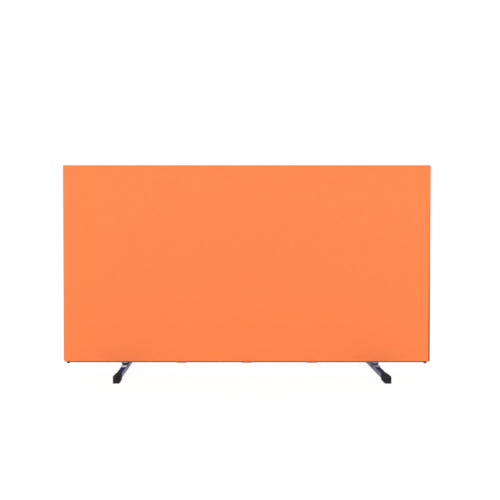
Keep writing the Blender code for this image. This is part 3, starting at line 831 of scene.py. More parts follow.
def settle(obj: Piece) -> Piece:
    """Applies a piece's modifiers to its mesh.

    Args:
        obj: The piece.

    Returns:
        The same piece, with no modifiers.
    """
    bpy.context.view_layer.update()
    graph = bpy.context.evaluated_depsgraph_get()
    mesh = bpy.data.meshes.new_from_object(obj.evaluated_get(graph), depsgraph=graph)
    obj.modifiers.clear()
    obj.data = mesh
    mesh.name = obj.name
    soften(mesh)
    return obj


def band(near: np.ndarray, far: np.ndarray) -> list[tuple[int, ...]]:
    """Four-sided faces between two closed loops of point numbers."""
    return list(zip(near, np.roll(near, -1), np.roll(far, -1), far))


def grid_faces(rows: int, columns: int, start: int = 0) -> list[tuple[int, ...]]:
    """Four-sided faces over rows of points.

    Args:
        rows: How many rows there are.
        columns: How many points each row has.
        start: The first point's number.

    Returns:
        The faces' corners.
    """
    corners = [start + row * columns + column for row in range(rows - 1) for column in range(columns - 1)]
    return [(first, first + 1, first + columns + 1, first + columns) for first in corners]


def tube_faces(rings: int, around: int) -> list[tuple[int, ...]]:
    """Faces over rings of points, with both ends open.

    Args:
        rings: How many rings there are.
        around: How many points each ring has.

    Returns:
        The faces' corners.
    """
    loops = np.arange(rings * around).reshape(rings, around)
    return [face for near, far in zip(loops, loops[1:]) for face in band(near, far)]


def closed_faces(rings: int, around: int) -> list[tuple[int, ...]]:
    """Faces over rings of points, with a face on both ends."""
    last = (rings - 1) * around
    return [*tube_faces(rings, around), tuple(range(around)), tuple(range(last, last + around))]


def round_angles(steps: int) -> np.ndarray:
    """Even angles once round."""
    return np.linspace(0, 2 * math.pi, steps, endpoint=False)


def turned(name: str, rows: Sequence[Row], centre: Point, steps: int, ring: bool) -> Piece:
    """A piece turned about an upright axis.

    Args:
        name: The piece's name.
        rows: (radius, height) down its profile. A radius may be a function of the angle.
        centre: The X and Y of the axis.
        steps: Points round the axis.
        ring: Whether the profile closes on itself round a bore, or ends on the axis.

    Returns:
        The new object.
    """
    angles = round_angles(steps)
    points = []
    for radius, height in rows:
        reach = radius(angles) if callable(radius) else np.full(steps, radius)
        across = centre[0] + reach * np.cos(angles)
        points.append(np.stack([across, centre[1] + reach * np.sin(angles), np.full(steps, height)], 1))
    if ring:
        first = np.arange(steps)
        faces = tube_faces(len(rows), steps) + band(first, first + (len(rows) - 1) * steps)
    else:
        faces = closed_faces(len(rows), steps)
    return mesh_piece(name, np.concatenate(points), faces)


def plied(name: str, points: np.ndarray, thickness: float) -> Piece:
    """A sheet of even thickness.

    Args:
        name: The piece's name.
        points: Its middle, as rows by columns by X, Y and Z.
        thickness: Its thickness.

    Returns:
        The new object.
    """
    obj = mesh_piece(name, points.reshape(-1, 3), grid_faces(*points.shape[:2]))
    shell = obj.modifiers.new("ply", "SOLIDIFY")
    shell.thickness = thickness
    shell.offset = 0
    return settle(obj)


def arc(centre: Point, radius: float, start: float, end: float, steps: int) -> list[Point]:
    """Points along an arc between two angles in degrees, both ends included."""
    angles = np.radians(np.linspace(start, end, steps + 1))
    return [(centre[0] + radius * math.cos(a), centre[1] + radius * math.sin(a)) for a in angles]


def graded(low: float, high: float, fine: float, bands: Point, coarse: float) -> np.ndarray:
    """Grid lines that lie closer together near both ends.

    Args:
        low: The first line.
        high: The last line.
        fine: The step near the ends.
        bands: How far the fine lines reach from the low end and from the high end.
        coarse: The step between the bands.

    Returns:
        The places of the lines.
    """
    first = np.arange(low, low + bands[0], fine)
    last = high - np.arange(0, bands[1], fine)[::-1]
    count = max(2, round((last[0] - first[-1]) / coarse))
    return np.concatenate([first, np.linspace(first[-1], last[0], count + 1)[1:-1], last])


def fallen(radius: np.ndarray | float, distance: np.ndarray | float) -> np.ndarray:
    """How far an edge of some radius has fallen away at a distance in from its end."""
    short = np.maximum(radius - distance, 0)
    return radius - np.sqrt(radius * radius - short * short)


def bell(distance: np.ndarray, width: float) -> np.ndarray:
    """A smooth fade from 1 at no distance to nearly 0 at twice the width."""
    return np.exp(-((distance / width) ** 2))


def axis_of(node: str) -> Point:
    """The X and Y of the middle of a node's box."""
    low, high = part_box(node)
    return (low.x + high.x) / 2, (low.y + high.y) / 2


class SmoothShading:
    """Shades the frame's own nodes smooth, but for their sharp edges, by a modifier."""

    WELD = 0.000001
    NAME = "smooth_shading"

    def __init__(self) -> None:
        """Builds the modifier's node group: weld, mark the sharp edges, shade smooth."""
        self.group = bpy.data.node_groups.new(self.NAME, "GeometryNodeTree")
        for direction in ("INPUT", "OUTPUT"):
            self.group.interface.new_socket("Geometry", in_out=direction, socket_type="NodeSocketGeometry")
        wiring = NodeWiring(self.group)
        shape = wiring.add("NodeGroupInput").outputs[0]
        whole = wiring.add("GeometryNodeMergeByDistance", {"Geometry": shape, "Distance": self.WELD})
        shape = whole.outputs[0]
        angle = wiring.add("GeometryNodeInputMeshEdgeAngle").outputs[0]
        for domain, smooth in (("EDGE", wiring.maths("LESS_THAN", angle, SHARP_ANGLE)), ("FACE", True)):
            inputs = {"Geometry": shape, "Shade Smooth": smooth}
            shape = wiring.add("GeometryNodeSetShadeSmooth", inputs, domain=domain).outputs[0]
        wiring.add("NodeGroupOutput", {0: shape})

    def finish(self, node: str, material: Material) -> None:
        """Shades a node of the frame smooth and dresses it.

        Args:
            node: The node's name.
            material: Its new finish.
        """
        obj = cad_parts[node]
        obj.modifiers.new(self.NAME, "NODES").node_group = self.group
        dress(obj, material)
        LOG.info("%s keeps its shape and takes %s", node, material.name)


def joined(obj: Piece, body: str, slot: str, material: Material, *nodes: str) -> Piece:
    """Fits a new piece into the frame, dresses it and reports it.

    Args:
        obj: The piece, in place.
        body: The body that it moves with.
        slot: The material slot of its finish; not used.
        material: Its finish.
        *nodes: The nodes of the frame that it stands for.

    Returns:
        The piece.
    """
    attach(obj, body)
    if nodes:
        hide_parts(*nodes)
    dress(obj, material)
    LOG.info("%s rides on %s", obj.name, body)
    return obj


@dataclass(frozen=True)
class Stitching:
    """Rows of lockstitch, each stitch a short bowed length of thread.

    The rings of a stitch lie at shares of its length, and girths are their shares of its radius.
    """

    pitch: float = 0.0040
    gap: float = 0.0009
    radius: float = 0.00024
    lift: float = 0.00010
    sides: int = 6
    shares: tuple[float, ...] = (0.0, 0.2, 0.8, 1.0)
    girths: tuple[float, ...] = (0.35, 1.0, 1.0, 0.35)

    def row(self, start: Vector, end: Vector, outward: Vector, surface: Curve) -> np.ndarray:
        """The points of every stitch along a straight row.

        Args:
            start: Where the row starts, on the flat cover.
            end: Where it ends.
            outward: The way that the cloth faces.
            surface: Moves points of the flat cover onto the cloth.

        Returns:
            The points, as stitches by rings by sides by X, Y and Z.
        """
        run = end - start
        count = int(run.length / self.pitch)
        along = run.normalized()
        beside = np.array(along.cross(outward))
        first = (run.length - count * self.pitch) / 2 + self.gap / 2
        starts = np.arange(count) * self.pitch + first
        shares = np.array(self.shares)
        middle = starts[:, None] + shares * (self.pitch - self.gap)
        base = surface(np.array(start) + middle[..., None] * np.array(along))
        base += (np.sin(shares * math.pi) * self.lift)[None, :, None] * np.array(outward)
        angles = round_angles(self.sides)
        spokes = np.cos(angles)[:, None] * np.array(outward) + np.sin(angles)[:, None] * beside
        girth = np.array(self.girths) * self.radius
        return base[:, :, None, :] + girth[None, :, None, None] * spokes[None, None, :, :]

    def piece(self, name: str, rows: Sequence[np.ndarray]) -> Piece:
        """Joins rows of stitches into one piece.

        Args:
            name: The piece's name.
            rows: What row gives.

        Returns:
            The new object.
        """
        stitches = np.concatenate(rows)
        each = len(self.shares) * self.sides
        template = closed_faces(len(self.shares), self.sides)
        starts = range(0, len(stitches) * each, each)
        faces = [tuple(start + corner for corner in face) for start in starts for face in template]
        return mesh_piece(name, stitches.reshape(-1, 3), faces)


@dataclass(frozen=True)
class Slack:
    """Long shallow waves where the cloth hangs free between its tubes.

    Broad and slanted are radians in a metre along X and Z, and starts are the broad wave's phases.
    The cloth comes free over the margin inside the tubes.
    """

    depth: float = 0.0007
    margin: float = 0.09
    broad: Point = (5.1, 6.3)
    starts: Point = (0.8, 0.4)
    slanted: Point = (9.7, 4.1)
    slanted_share: float = 0.5
    wave_share: float = 0.9
    sag_share: float = 0.8

    def relief(self, sign: int, x: np.ndarray, z: np.ndarray) -> np.ndarray:
        """The waves' height on one panel.

        Args:
            sign: The sign of Y at the panel, so that the two panels differ.
            x: Places along the barrier.
            z: Heights.

        Returns:
            The height of each point.
        """
        broad = np.sin(self.broad[0] * x + sign * self.starts[0])
        broad = broad * np.sin(self.broad[1] * z + self.starts[1])
        slanted = np.sin(self.slanted[0] * x - self.slanted[1] * z + sign)
        sway = broad + self.slanted_share * slanted
        return self.depth * (self.wave_share * sway - self.sag_share)


@dataclass(frozen=True)
class Folds:
    """Faint folds that run away from a place where the cloth is pulled."""

    height: float
    reach: float
    width: float
    pitch: float

    def relief(self, along: np.ndarray, beside: np.ndarray) -> np.ndarray:
        """Their height at places along and beside them."""
        fade = self.height * np.exp(-along / self.reach) * bell(beside, self.width)
        return fade * np.cos(beside * 2 * math.pi / self.pitch)


@dataclass(frozen=True)
class Puckers:
    """The dent of a row of stitches, and the puckers that wander beside it."""

    dent: float = 0.00016
    dent_width: float = 0.0013
    height: float = 0.00010
    width: float = 0.007
    pitch: float = 0.043
    wander: float = 3
    wander_turns: float = 11

    def relief(self, distance: np.ndarray, along: np.ndarray) -> np.ndarray:
        """Their height at places off and along the row.

        Args:
            distance: How far each point is from the row.
            along: Where it is along the row.

        Returns:
            The height of each point.
        """
        phase = along * 2 * math.pi / self.pitch + self.wander * np.sin(along * self.wander_turns)
        puckers = self.height * bell(distance, self.width) * (0.5 + 0.5 * np.sin(phase))
        return puckers - self.dent * bell(distance, self.dent_width)


@dataclass
class Cover:
    """The sewn cover: two taut panels, the strips between them, their stitching and the tabs.

    The mitre's gap is in degrees.
    """

    finishes: Finishes
    hem_depth: float = 0.025
    hem_edge_plies: float = 0.0625
    strip_turn: float = 0.0095
    strip_turn_shares: Axes = (1.0, 0.5, 0.0)
    strip_flat_shares: Point = (0.5, 0.25)
    strip_fold_steps: int = 4
    strip_thickness_share: float = 0.94
    strip_inset_plies: float = 1.5
    hem_inset_plies: float = 2.9
    mitre_gap: float = 0.3
    top_steps: int = 60
    end_steps: int = 34
    corner_steps: int = 5
    hem_row: float = 0.0215
    seam_row: float = 0.0045
    corner_round: float = 0.0026
    left_hem_round: float = 0.0095
    right_hem_round: float = 0.0045
    wrap_round: float = 0.0030
    tube_side: float = 0.020
    slack: Slack = Slack()
    corner_folds: Folds = Folds(height=0.0009, reach=0.15, width=0.055, pitch=0.06)
    tab_folds: Folds = Folds(height=0.0005, reach=0.085, width=0.05, pitch=0.04)
    puckers: Puckers = Puckers()
    corner_pull: float = 0.00035
    pull_radius: float = 0.024
    pull_width: float = 0.013
    pull_rays: int = 13
    fine_step: float = 0.0011
    coarse_step: float = 0.0105
    edge_band: float = 0.013
    hem_band: float = 0.028
    rim_steps: int = 4
    stitching: Stitching = Stitching()
    tab_sides: tuple[str, ...] = ("left", "centre", "right")
    tab_thickness: float = 0.0009
    tab_thickness_share: float = 0.9
    tab_bend: float = 0.0009
    tab_bend_steps: int = 6
    tab_flat_shares: Axes = (0.75, 0.5, 0.25)
    tab_columns: int = 21
    tab_rib: float = 0.00008
    tack_shares: Point = (0.28, 0.62)

    def __post_init__(self) -> None:
        """Reads the cover's place from the frame."""
        low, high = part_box("front_cloth")
        self.reach = high.x
        self.bottom, self.top = low.z, high.z
        self.outer = -low.y
        self.ply = (high.y - low.y) / 2
        self.strip_reach = self.outer - self.ply * self.strip_inset_plies

    def hem_round(self, x: np.ndarray | float) -> np.ndarray:
        """The hem's corner radius, larger at the left end, where use has rounded it more."""
        return np.where(np.asarray(x) < 0, self.left_hem_round, self.right_hem_round)

    def nearest_round(self, x: np.ndarray, z: np.ndarray) -> np.ndarray:
        """The radius of the panel's corner that is nearest to each point."""
        return np.where(z > (self.top + self.bottom) / 2, self.corner_round, self.hem_round(x))

    def pulls(self, x: np.ndarray, z: np.ndarray) -> np.ndarray:
        """Folds that run in from the corners and up from the tabs.

        Args:
            x: Places along the barrier.
            z: Heights.

        Returns:
            Their height at each point.
        """
        lift = np.zeros_like(x)
        for corner_x, corner_z in product((-self.reach, self.reach), (self.bottom, self.top)):
            dx, dz = np.abs(x - corner_x), np.abs(z - corner_z)
            lift += self.corner_folds.relief((dx + dz) / math.sqrt(2), (dx - dz) / math.sqrt(2))
        above = np.clip(z - self.bottom - self.tube_side, 0, None)
        for side in self.tab_sides:
            lift += self.tab_folds.relief(above, x - axis_of(f"{side}_closure_tab")[0])
        return lift

    def hem_rays(self, x: np.ndarray, z: np.ndarray) -> np.ndarray:
        """Short rays round the hem's two corners.

        Args:
            x: Places along the barrier.
            z: Heights.

        Returns:
            Their height at each point.
        """
        lift = np.zeros_like(x)
        for corner_x in (-self.reach, self.reach):
            dx, dz = np.abs(x - corner_x), z - self.bottom
            rays = 0.5 + 0.5 * np.cos(self.pull_rays * np.arctan2(dz, dx) + corner_x)
            lift += self.corner_pull * bell(np.hypot(dx, dz) - self.pull_radius, self.pull_width) * rays
        return lift

    def relief(self, face: Face, x: np.ndarray, z: np.ndarray) -> np.ndarray:
        """How far the taut cloth stands out from flat: faint slack, folds, puckers and wrapped edges.

        Args:
            face: The panel.
            x: Places along the barrier.
            z: Heights.

        Returns:
            The lift of each point, in metres.
        """
        from_end = self.reach - np.abs(x)
        from_top, from_hem = self.top - z, z - self.bottom
        inset = np.minimum(np.minimum(from_end, from_top), from_hem) - self.tube_side
        free = np.clip(inset / self.slack.margin, 0, 1)
        free = free * free * (3 - 2 * free)
        lift = free * self.slack.relief(face.value, x, z) + free**0.5 * self.pulls(x, z)
        lift += self.hem_rays(x, z) + self.puckers.relief(from_hem - self.hem_row, x)
        lift += self.puckers.relief(from_top - self.seam_row, x)
        lift += self.puckers.relief(from_end - self.seam_row, z)
        wrapped = np.clip(from_hem / self.hem_round(x) - 1, 0, 1)
        across, down = self.corner_round - from_end, self.corner_round - from_top
        corner = self.corner_round - np.hypot(across, down)
        inward = np.where((across > 0) & (down > 0), corner, np.minimum(from_end, from_top))
        return lift - wrapped * fallen(self.wrap_round, np.clip(inward, self.ply / 2, None))

    def on_cloth(self, face: Face, points: np.ndarray) -> np.ndarray:
        """Moves points of the flat cover onto the cloth's surface.

        Args:
            face: The panel.
            points: Points, X, Y and Z last.

        Returns:
            The same points, with Y on the cloth.
        """
        moved = np.array(points, float)
        lift = self.relief(face, moved[..., 0], moved[..., 2])
        moved[..., 1] = face.value * (self.outer + lift)
        return moved

    def rounded(self, x: np.ndarray, z: np.ndarray) -> tuple[np.ndarray, np.ndarray]:
        """Draws the corners of the panel's grid onto arcs.

        Args:
            x: Places along the barrier.
            z: Heights.

        Returns:
            The new places and heights.
        """
        radius = self.nearest_round(x, z)
        wide, tall = np.abs(x).max() - radius, (z.max() - z.min()) / 2 - radius
        centre = (z.max() + z.min()) / 2
        dx, dz = np.abs(x) - wide, np.abs(z - centre) - tall
        inside = (dx > 0) & (dz > 0)
        length = np.hypot(dx, dz)
        scale = np.maximum(dx, dz) / np.where(length > 0, length, 1)
        new_x = np.where(inside, np.sign(x) * (wide + dx * scale), x)
        new_z = np.where(inside, centre + np.sign(z - centre) * (tall + dz * scale), z)
        return new_x, new_z

    def panel(self, face: Face) -> Piece:
        """One panel: a single ply, doubled in its hem, with its edges rounded.

        Args:
            face: Which panel.

        Returns:
            The panel.
        """
        half = self.ply / 2
        hem_line = self.bottom + self.hem_depth
        edge, fine, coarse = self.edge_band, self.fine_step, self.coarse_step
        xs = graded(half - self.reach, self.reach - half, fine, (edge, edge), coarse)
        zs = graded(self.bottom + self.ply, self.top - half, fine, (self.hem_band, edge), coarse)
        hem_edge = self.ply * self.hem_edge_plies
        zs = np.unique(np.concatenate([zs, [hem_line - hem_edge, hem_line + hem_edge]]))
        x, z = self.rounded(*np.meshgrid(xs, zs))
        plies = np.where(zs[:, None] < hem_line, 2, 1)
        far_out = self.outer + self.relief(face, x, z)
        depths = (far_out, far_out - plies * self.ply)
        front, back = (np.stack([x, face.value * y, z], -1).reshape(-1, 3) for y in depths)
        rows, columns = x.shape
        rim = self.rim_numbers(rows, columns)
        middle = (front[rim] + back[rim]) / 2
        thick = (front[rim] - back[rim]) / 2
        away = self.outward(middle, half)
        angles = np.linspace(0, math.pi, self.rim_steps + 1)[1:-1]
        loops = [middle + thick * math.cos(angle) + away * math.sin(angle) for angle in angles]
        count, around = rows * columns, np.arange(len(rim))
        bands = [rim, *(2 * count + len(rim) * i + around for i in range(len(loops))), rim + count]
        faces = grid_faces(rows, columns) + grid_faces(rows, columns, count)
        for near, far in zip(bands, bands[1:]):
            faces += band(near, far)
        return mesh_piece(f"{face.label}_panel", np.concatenate([front, back, *loops]), faces)

    def outward(self, edge: np.ndarray, half: float) -> np.ndarray:
        """How far, and which way, the rim stands out from the grid's last line.

        That is half a ply, but a whole one at the hem, which is double.

        Args:
            edge: The points along the rim.
            half: Half a ply.

        Returns:
            One vector for each point, in the panel's plane.
        """
        x, y, z = edge.T
        radius = self.nearest_round(x, z)
        wide, high, low = np.abs(x).max() - radius, z.max() - radius, z.min() + radius
        away = edge - np.stack([np.clip(x, -wide, wide), y, np.clip(z, low, high)], 1)
        away /= np.linalg.norm(away, axis=1, keepdims=True)
        away[:, 2] *= np.where(away[:, 2] < 0, 2, 1)
        return away * half

    @staticmethod
    def rim_numbers(rows: int, columns: int) -> np.ndarray:
        """The numbers of a grid's outermost points, once round."""
        numbers = np.arange(rows * columns).reshape(rows, columns)
        return np.concatenate([numbers[0, :-1], numbers[:-1, -1], numbers[-1, :0:-1], numbers[:0:-1, 0]])

    def section(self, place: Vector, normal: Vector, half_width: float, turn: float) -> list[Vector]:
        """A strip's middle line across the cover at one place of its path, its edges turned in.

        Args:
            place: A point of the path, on the strip's outer face.
            normal: The way out of the cover there.
            half_width: The strip's reach to each face.
            turn: How deep its edges are turned in.

        Returns:
            The points from the front edge to the back edge.
        """
        fold = self.ply
        half = [(half_width, fold + turn * share) for share in self.strip_turn_shares]
        bend = arc((half_width - fold, -fold), fold, 0, 90, self.strip_fold_steps)[1:]
        half += [(across, -up) for across, up in bend]
        half = [(across - float(fallen(self.wrap_round, depth)), depth) for across, depth in half]
        half += [(half_width * share, 0.0) for share in self.strip_flat_shares]
        middle = place - normal * self.ply / 2
        front = [middle - normal * depth - Vector((0, across, 0)) for across, depth in half]
        back = [middle - normal * depth + Vector((0, across, 0)) for across, depth in reversed(half)]
        return [*front, middle.copy(), *back]

    def strip(self, name: str, path: Sequence[tuple[Vector, Vector, float, float]]) -> Piece:
        """A strip of cloth through (place, normal, half width, turn) at each station of its path."""
        points = np.array([[tuple(point) for point in self.section(*station)] for station in path])
        return plied(name, points, self.ply * self.strip_thickness_share)

    def corner_path(self, side: Side, start: float, end: float) -> list[tuple]:
        """Stations of a strip along the rounded top corner.

        Args:
            side: Which end of the barrier.
            start: The first angle from upright, in degrees.
            end: The last angle.

        Returns:
            (place, normal, half width, turn) at each step.
        """
        radius = self.corner_round
        centre = Vector((side.value * (self.reach - radius), 0, self.top - radius))
        made = []
        for angle in np.radians(np.linspace(start, end, self.corner_steps)):
            normal = Vector((side.value * math.sin(angle), 0, math.cos(angle)))
            made.append((centre + normal * radius, normal, self.strip_reach, self.ply / 2))
        return made

    def top_strip(self) -> Piece:
        """The strip over the top rail, from corner to corner."""
        mitre = 45 - self.mitre_gap
        end = self.reach - self.corner_round - self.strip_turn - self.ply
        path = self.corner_path(Side.LEFT, mitre, 0)
        for x in np.linspace(-end, end, self.top_steps):
            path.append((Vector((x, 0, self.top)), Vector((0, 0, 1)), self.strip_reach, self.strip_turn))
        return self.strip("top_strip", path + self.corner_path(Side.RIGHT, 0, mitre))

    def end_strip(self, side: Side) -> Piece:
        """The strip down one end, its edges cut back where the hems are double.

        Args:
            side: Which end.

        Returns:
            The strip.
        """
        narrow = self.outer - self.ply * self.hem_inset_plies
        lowest = self.bottom + float(self.hem_round(side.value))
        below = self.bottom + self.hem_depth + self.ply
        above = self.top - self.corner_round - self.strip_turn - self.ply
        path = self.corner_path(side, 45 + self.mitre_gap, 90)
        runs = (
            (np.linspace(above, below, self.end_steps), self.strip_reach, self.strip_turn),
            (np.linspace(below - self.ply / 2, lowest, self.corner_steps), narrow, 0.0),
        )
        for heights, wide, turn in runs:
            for z in heights:
                place, normal = Vector((side.value * self.reach, 0, z)), Vector((side.value, 0, 0))
                path.append((place, normal, wide, turn))
        return self.strip(f"{side.label}_end_strip", path)

    def rows_of_stitches(self, face: Face) -> Piece:
        """The topstitching on one panel: hem, top, both ends and the tab tacks.

        Args:
            face: Which panel.

        Returns:
            The stitches as one piece.
        """
        y, outward = face.value * self.outer, Vector((0, face.value, 0))
        left, right = -self.reach + self.seam_row, self.reach - self.seam_row
        upper, hem = self.top - self.seam_row, self.bottom + self.hem_row
        lines = [((left, hem), (right, hem)), ((left, upper), (right, upper))]
        lines += [((x, self.bottom + self.seam_row), (x, upper)) for x in (left, right)]
        for side, share in product(self.tab_sides, self.tack_shares):
            low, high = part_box(f"{side}_closure_tab")
            z = self.bottom + self.hem_row * share
            lines.append(((low.x, z), (high.x, z)))
        made = []
        for ends in lines:
            start, end = (Vector((x, y, z)) for x, z in ends)
            made.append(self.stitching.row(start, end, outward, lambda points: self.on_cloth(face, points)))
        return self.stitching.piece(f"{face.label}_stitching", made)

    def tab(self, side: str) -> tuple[Piece, Point]:
        """A closure tab that passes under the bottom rail from hem to hem.

        Args:
            side: left, centre or right.

        Returns:
            The tab, and its flat width and length.
        """
        low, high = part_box(f"{side}_closure_tab")
        thick, bend = self.tab_thickness, self.tab_bend
        reach, floor = high.y - thick / 2, low.z + thick / 2
        corner = (reach - bend, floor + bend)
        half = [(reach, high.z), *arc(corner, bend, 0, -90, self.tab_bend_steps)]
        half += [(reach * share, floor) for share in self.tab_flat_shares]
        path = np.array([*half, (0, floor), *((-across, up) for across, up in reversed(half))])
        run = float(np.linalg.norm(np.diff(path, axis=0), axis=1).sum())
        across = np.linspace(low.x, high.x, self.tab_columns)
        ribs = np.where(np.arange(self.tab_columns) % 2, self.tab_rib, 0.0)
        points = np.array([[(x, y, z + up) for x, up in zip(across, ribs)] for y, z in path])
        return plied(f"{side}_tab", points, thick * self.tab_thickness_share), (high.x - low.x, run)

    def build(self) -> None:
        """Builds and dresses every piece of the cover."""
        thread = self.finishes.thread.make("sewing_thread")
        upright, level, end_on = (
            self.finishes.cloth.make(f"cover_cloth_{name}", grain, self.bottom, self.reach)
            for name, grain in (("upright", Grain.UPRIGHT), ("top", Grain.FLAT), ("end", Grain.END_ON))
        )
        width, height = 2 * self.reach, self.top - self.bottom
        for face in Face:
            panel = joined(self.panel(face), "frame", "cover_cloth", upright, f"{face.label}_cloth")
            stitches = joined(self.rows_of_stitches(face), "frame", "cover_cloth", thread)
        strip_width = 2 * (self.outer - self.ply + self.strip_turn)
        top = joined(self.top_strip(), "frame", "cover_cloth", level, "top_gusset")
        for side in Side:
            strip = joined(self.end_strip(side), "frame", "cover_cloth", end_on, f"{side.label}_gusset")
            flat = (strip_width, height - float(self.hem_round(side.value)))
        webbing = self.finishes.webbing.make("tab_webbing")
        for side in self.tab_sides:
            tab, flat = self.tab(side)
            joined(tab, "frame", "tab_webbing", webbing, f"{side}_closure_tab")


@dataclass
class TubeFrame:
    """The square tube frame inside the cover, which keeps the shapes of its nodes."""

    finishes: Finishes
    kept: SmoothShading
    tubes: tuple[str, ...] = ("top_rail", "bottom_rail", "left_post", "right_post")
    levels: tuple[str, ...] = ("top", "bottom")

    def build(self) -> None:
        """Dresses the rails, the posts and the corner connectors."""
        paint = self.finishes.paint.make("navy_powder_coat")
        for name in self.tubes:
            self.kept.finish(name, paint)
        plastic = self.finishes.plastic.make("navy_moulded_plastic")
        for level, side in product(self.levels, Side):
            self.kept.finish(f"{level}_{side.label}_connector", plastic)


@dataclass(frozen=True)
class RubberCap:
    """A moulded rubber cap with a boat-shaped nose, a beaded mouth and a treaded sole.

    Bead rows are (distance, rise) from the bead's start, in shares of its width and its rise.
    """

    wall: float = 0.0024
    mouth_wall: float = 0.0011
    sole: float = 0.0020
    end_wall: float = 0.0050
    top_round: float = 0.0034
    inner_round_share: float = 0.8
    sole_round: float = 0.0011
    nose_round: float = 0.0065
    nose_steps: int = 10
    toe_round: float = 0.0015
    bow_length: float = 0.014
    bow_taper: float = 0.0024
    bow_round: float = 0.0025
    side_steps: int = 5
    bead_rise: float = 0.0002
    bead_width: float = 0.0016
    bead_rows: Profile = (
        (0.15, 0.6), (0.4, 1.0), (0.7, 1.0), (0.95, 0.6), (1.1, 0.0), (1.6, 0.0), (1.9, -1.2)
    )
    mouth_drop: float = 3.0
    groove_width: float = 0.0022
    groove_depth: float = 0.0009
    groove_pitch: float = 0.0085
    groove_start: float = 0.014
    grooves: int = 4
    corner_steps: int = 6

    def outline(self, half: float, low: float, high: float, low_round: float, high_round: float) -> Profile:
        """A rounded rectangle.

        Args:
            half: Half its width.
            low: Its lower edge.
            high: Its upper edge.
            low_round: The radius of its lower corners.
            high_round: The radius of its upper corners.

        Returns:
            Its points, anticlockwise.
        """
        corners = (
            (half - high_round, high - high_round, high_round),
            (high_round - half, high - high_round, high_round),
            (low_round - half, low + low_round, low_round),
            (half - low_round, low + low_round, low_round),
        )
        made = []
        for turn, (across, up, radius) in enumerate(corners):
            made += arc((across, up), radius, 90 * turn, 90 * turn + 90, self.corner_steps)
        return made

    def stations(self, length: float) -> Profile:
        """Where the cap's sections lie and how thick its walls are there.

        Args:
            length: The cap's length.

        Returns:
            (distance from the nose, wall) of each section.
        """
        slope = (self.wall - self.mouth_wall) / (length - self.bow_length)
        bead = length - 2 * self.bead_width
        angles = np.linspace(0, math.pi / 2, self.nose_steps + 1)
        made = [(self.nose_round * (1 - math.cos(angle)), self.wall) for angle in angles]
        bow = np.linspace(self.nose_round, self.bow_length, self.side_steps + 1)[1:]
        made += [(distance, self.wall) for distance in bow]
        sides = np.linspace(self.bow_length, bead, self.side_steps + 1)[1:]
        rows = [(distance, 0.0) for distance in sides]
        rows += [(bead + share * self.bead_width, rise * self.bead_rise) for share, rise in self.bead_rows]
        made += [(place, self.wall - slope * (place - self.bow_length) + rise) for place, rise in rows]
        return [*made, (length, self.mouth_wall - self.mouth_drop * self.bead_rise)]

    def section(self, distance: float, wall: float, bore: float, crown: float) -> Profile:
        """The cap's outline at a distance from the nose.

        Args:
            distance: The distance.
            wall: How thick its walls are there.
            bore: Half the bore's width.
            crown: The height of the bore's top.

        Returns:
            Its points, anticlockwise.
        """
        bow = max(1 - distance / self.bow_length, 0)
        half = bore + wall - self.bow_taper * bow * bow - float(fallen(self.bow_round, distance))
        top = crown + wall - float(fallen(self.nose_round, distance))
        rise = float(fallen(self.toe_round, distance))
        return self.outline(half, rise, top, self.sole_round, self.top_round)

    def loft(self, name: str, rings: Sequence[Sequence[Axes]]) -> Piece:
        """A closed skin through rings of as many points each."""
        faces = closed_faces(len(rings), len(rings[0]))
        return mesh_piece(name, np.array(rings).reshape(-1, 3), faces)

    def cut(self, cap: Piece, cutter: Piece) -> None:
        """Cuts a shape out of the cap and removes the cutter.

        Args:
            cap: The cap.
            cutter: The shape to take away.
        """
        modifier = cap.modifiers.new("cut", "BOOLEAN")
        modifier.operation = "DIFFERENCE"
        modifier.object = cutter
        settle(cap)
        bpy.data.objects.remove(cutter, do_unlink=True)

    def build(self, name: str, node: str, tip: Tip) -> Piece:
        """A cap in its node's place.

        Args:
            name: The piece's name.
            node: The frame's node that it stands for.
            tip: The end of the foot that it covers.

        Returns:
            The cap.
        """
        low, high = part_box(node)
        middle, length = axis_of(node)[0], high.y - low.y
        nose = low.y if tip is Tip.FRONT else high.y
        bore, crown = (high.x - low.x) / 2 - self.wall, high.z - self.wall

        def ring(distance: float, outline: Profile) -> list[Axes]:
            """An outline set upright across the foot, at a distance in from its nose."""
            return [(middle + across, nose - tip.value * distance, up) for across, up in outline]

        rings = [
            ring(distance, self.section(distance, wall, bore, crown))
            for distance, wall in self.stations(length)
        ]
        cap = self.loft(name, rings)
        corner = self.top_round * self.inner_round_share
        inside = self.outline(bore, self.sole, crown, corner, corner)
        ends = (self.end_wall, length + self.wall)
        self.cut(cap, self.loft(f"{name}_bore", [ring(distance, inside) for distance in ends]))
        wide, deep = 2 * bore, self.groove_depth
        tread = ((-wide, -deep), (wide, -deep), (wide, deep), (-wide, deep))
        for number in range(self.grooves):
            start = self.groove_start + self.groove_pitch * number
            edges = (start - self.groove_width / 2, start + self.groove_width / 2)
            self.cut(cap, self.loft(f"{name}_groove", [ring(distance, tread) for distance in edges]))
        return cap


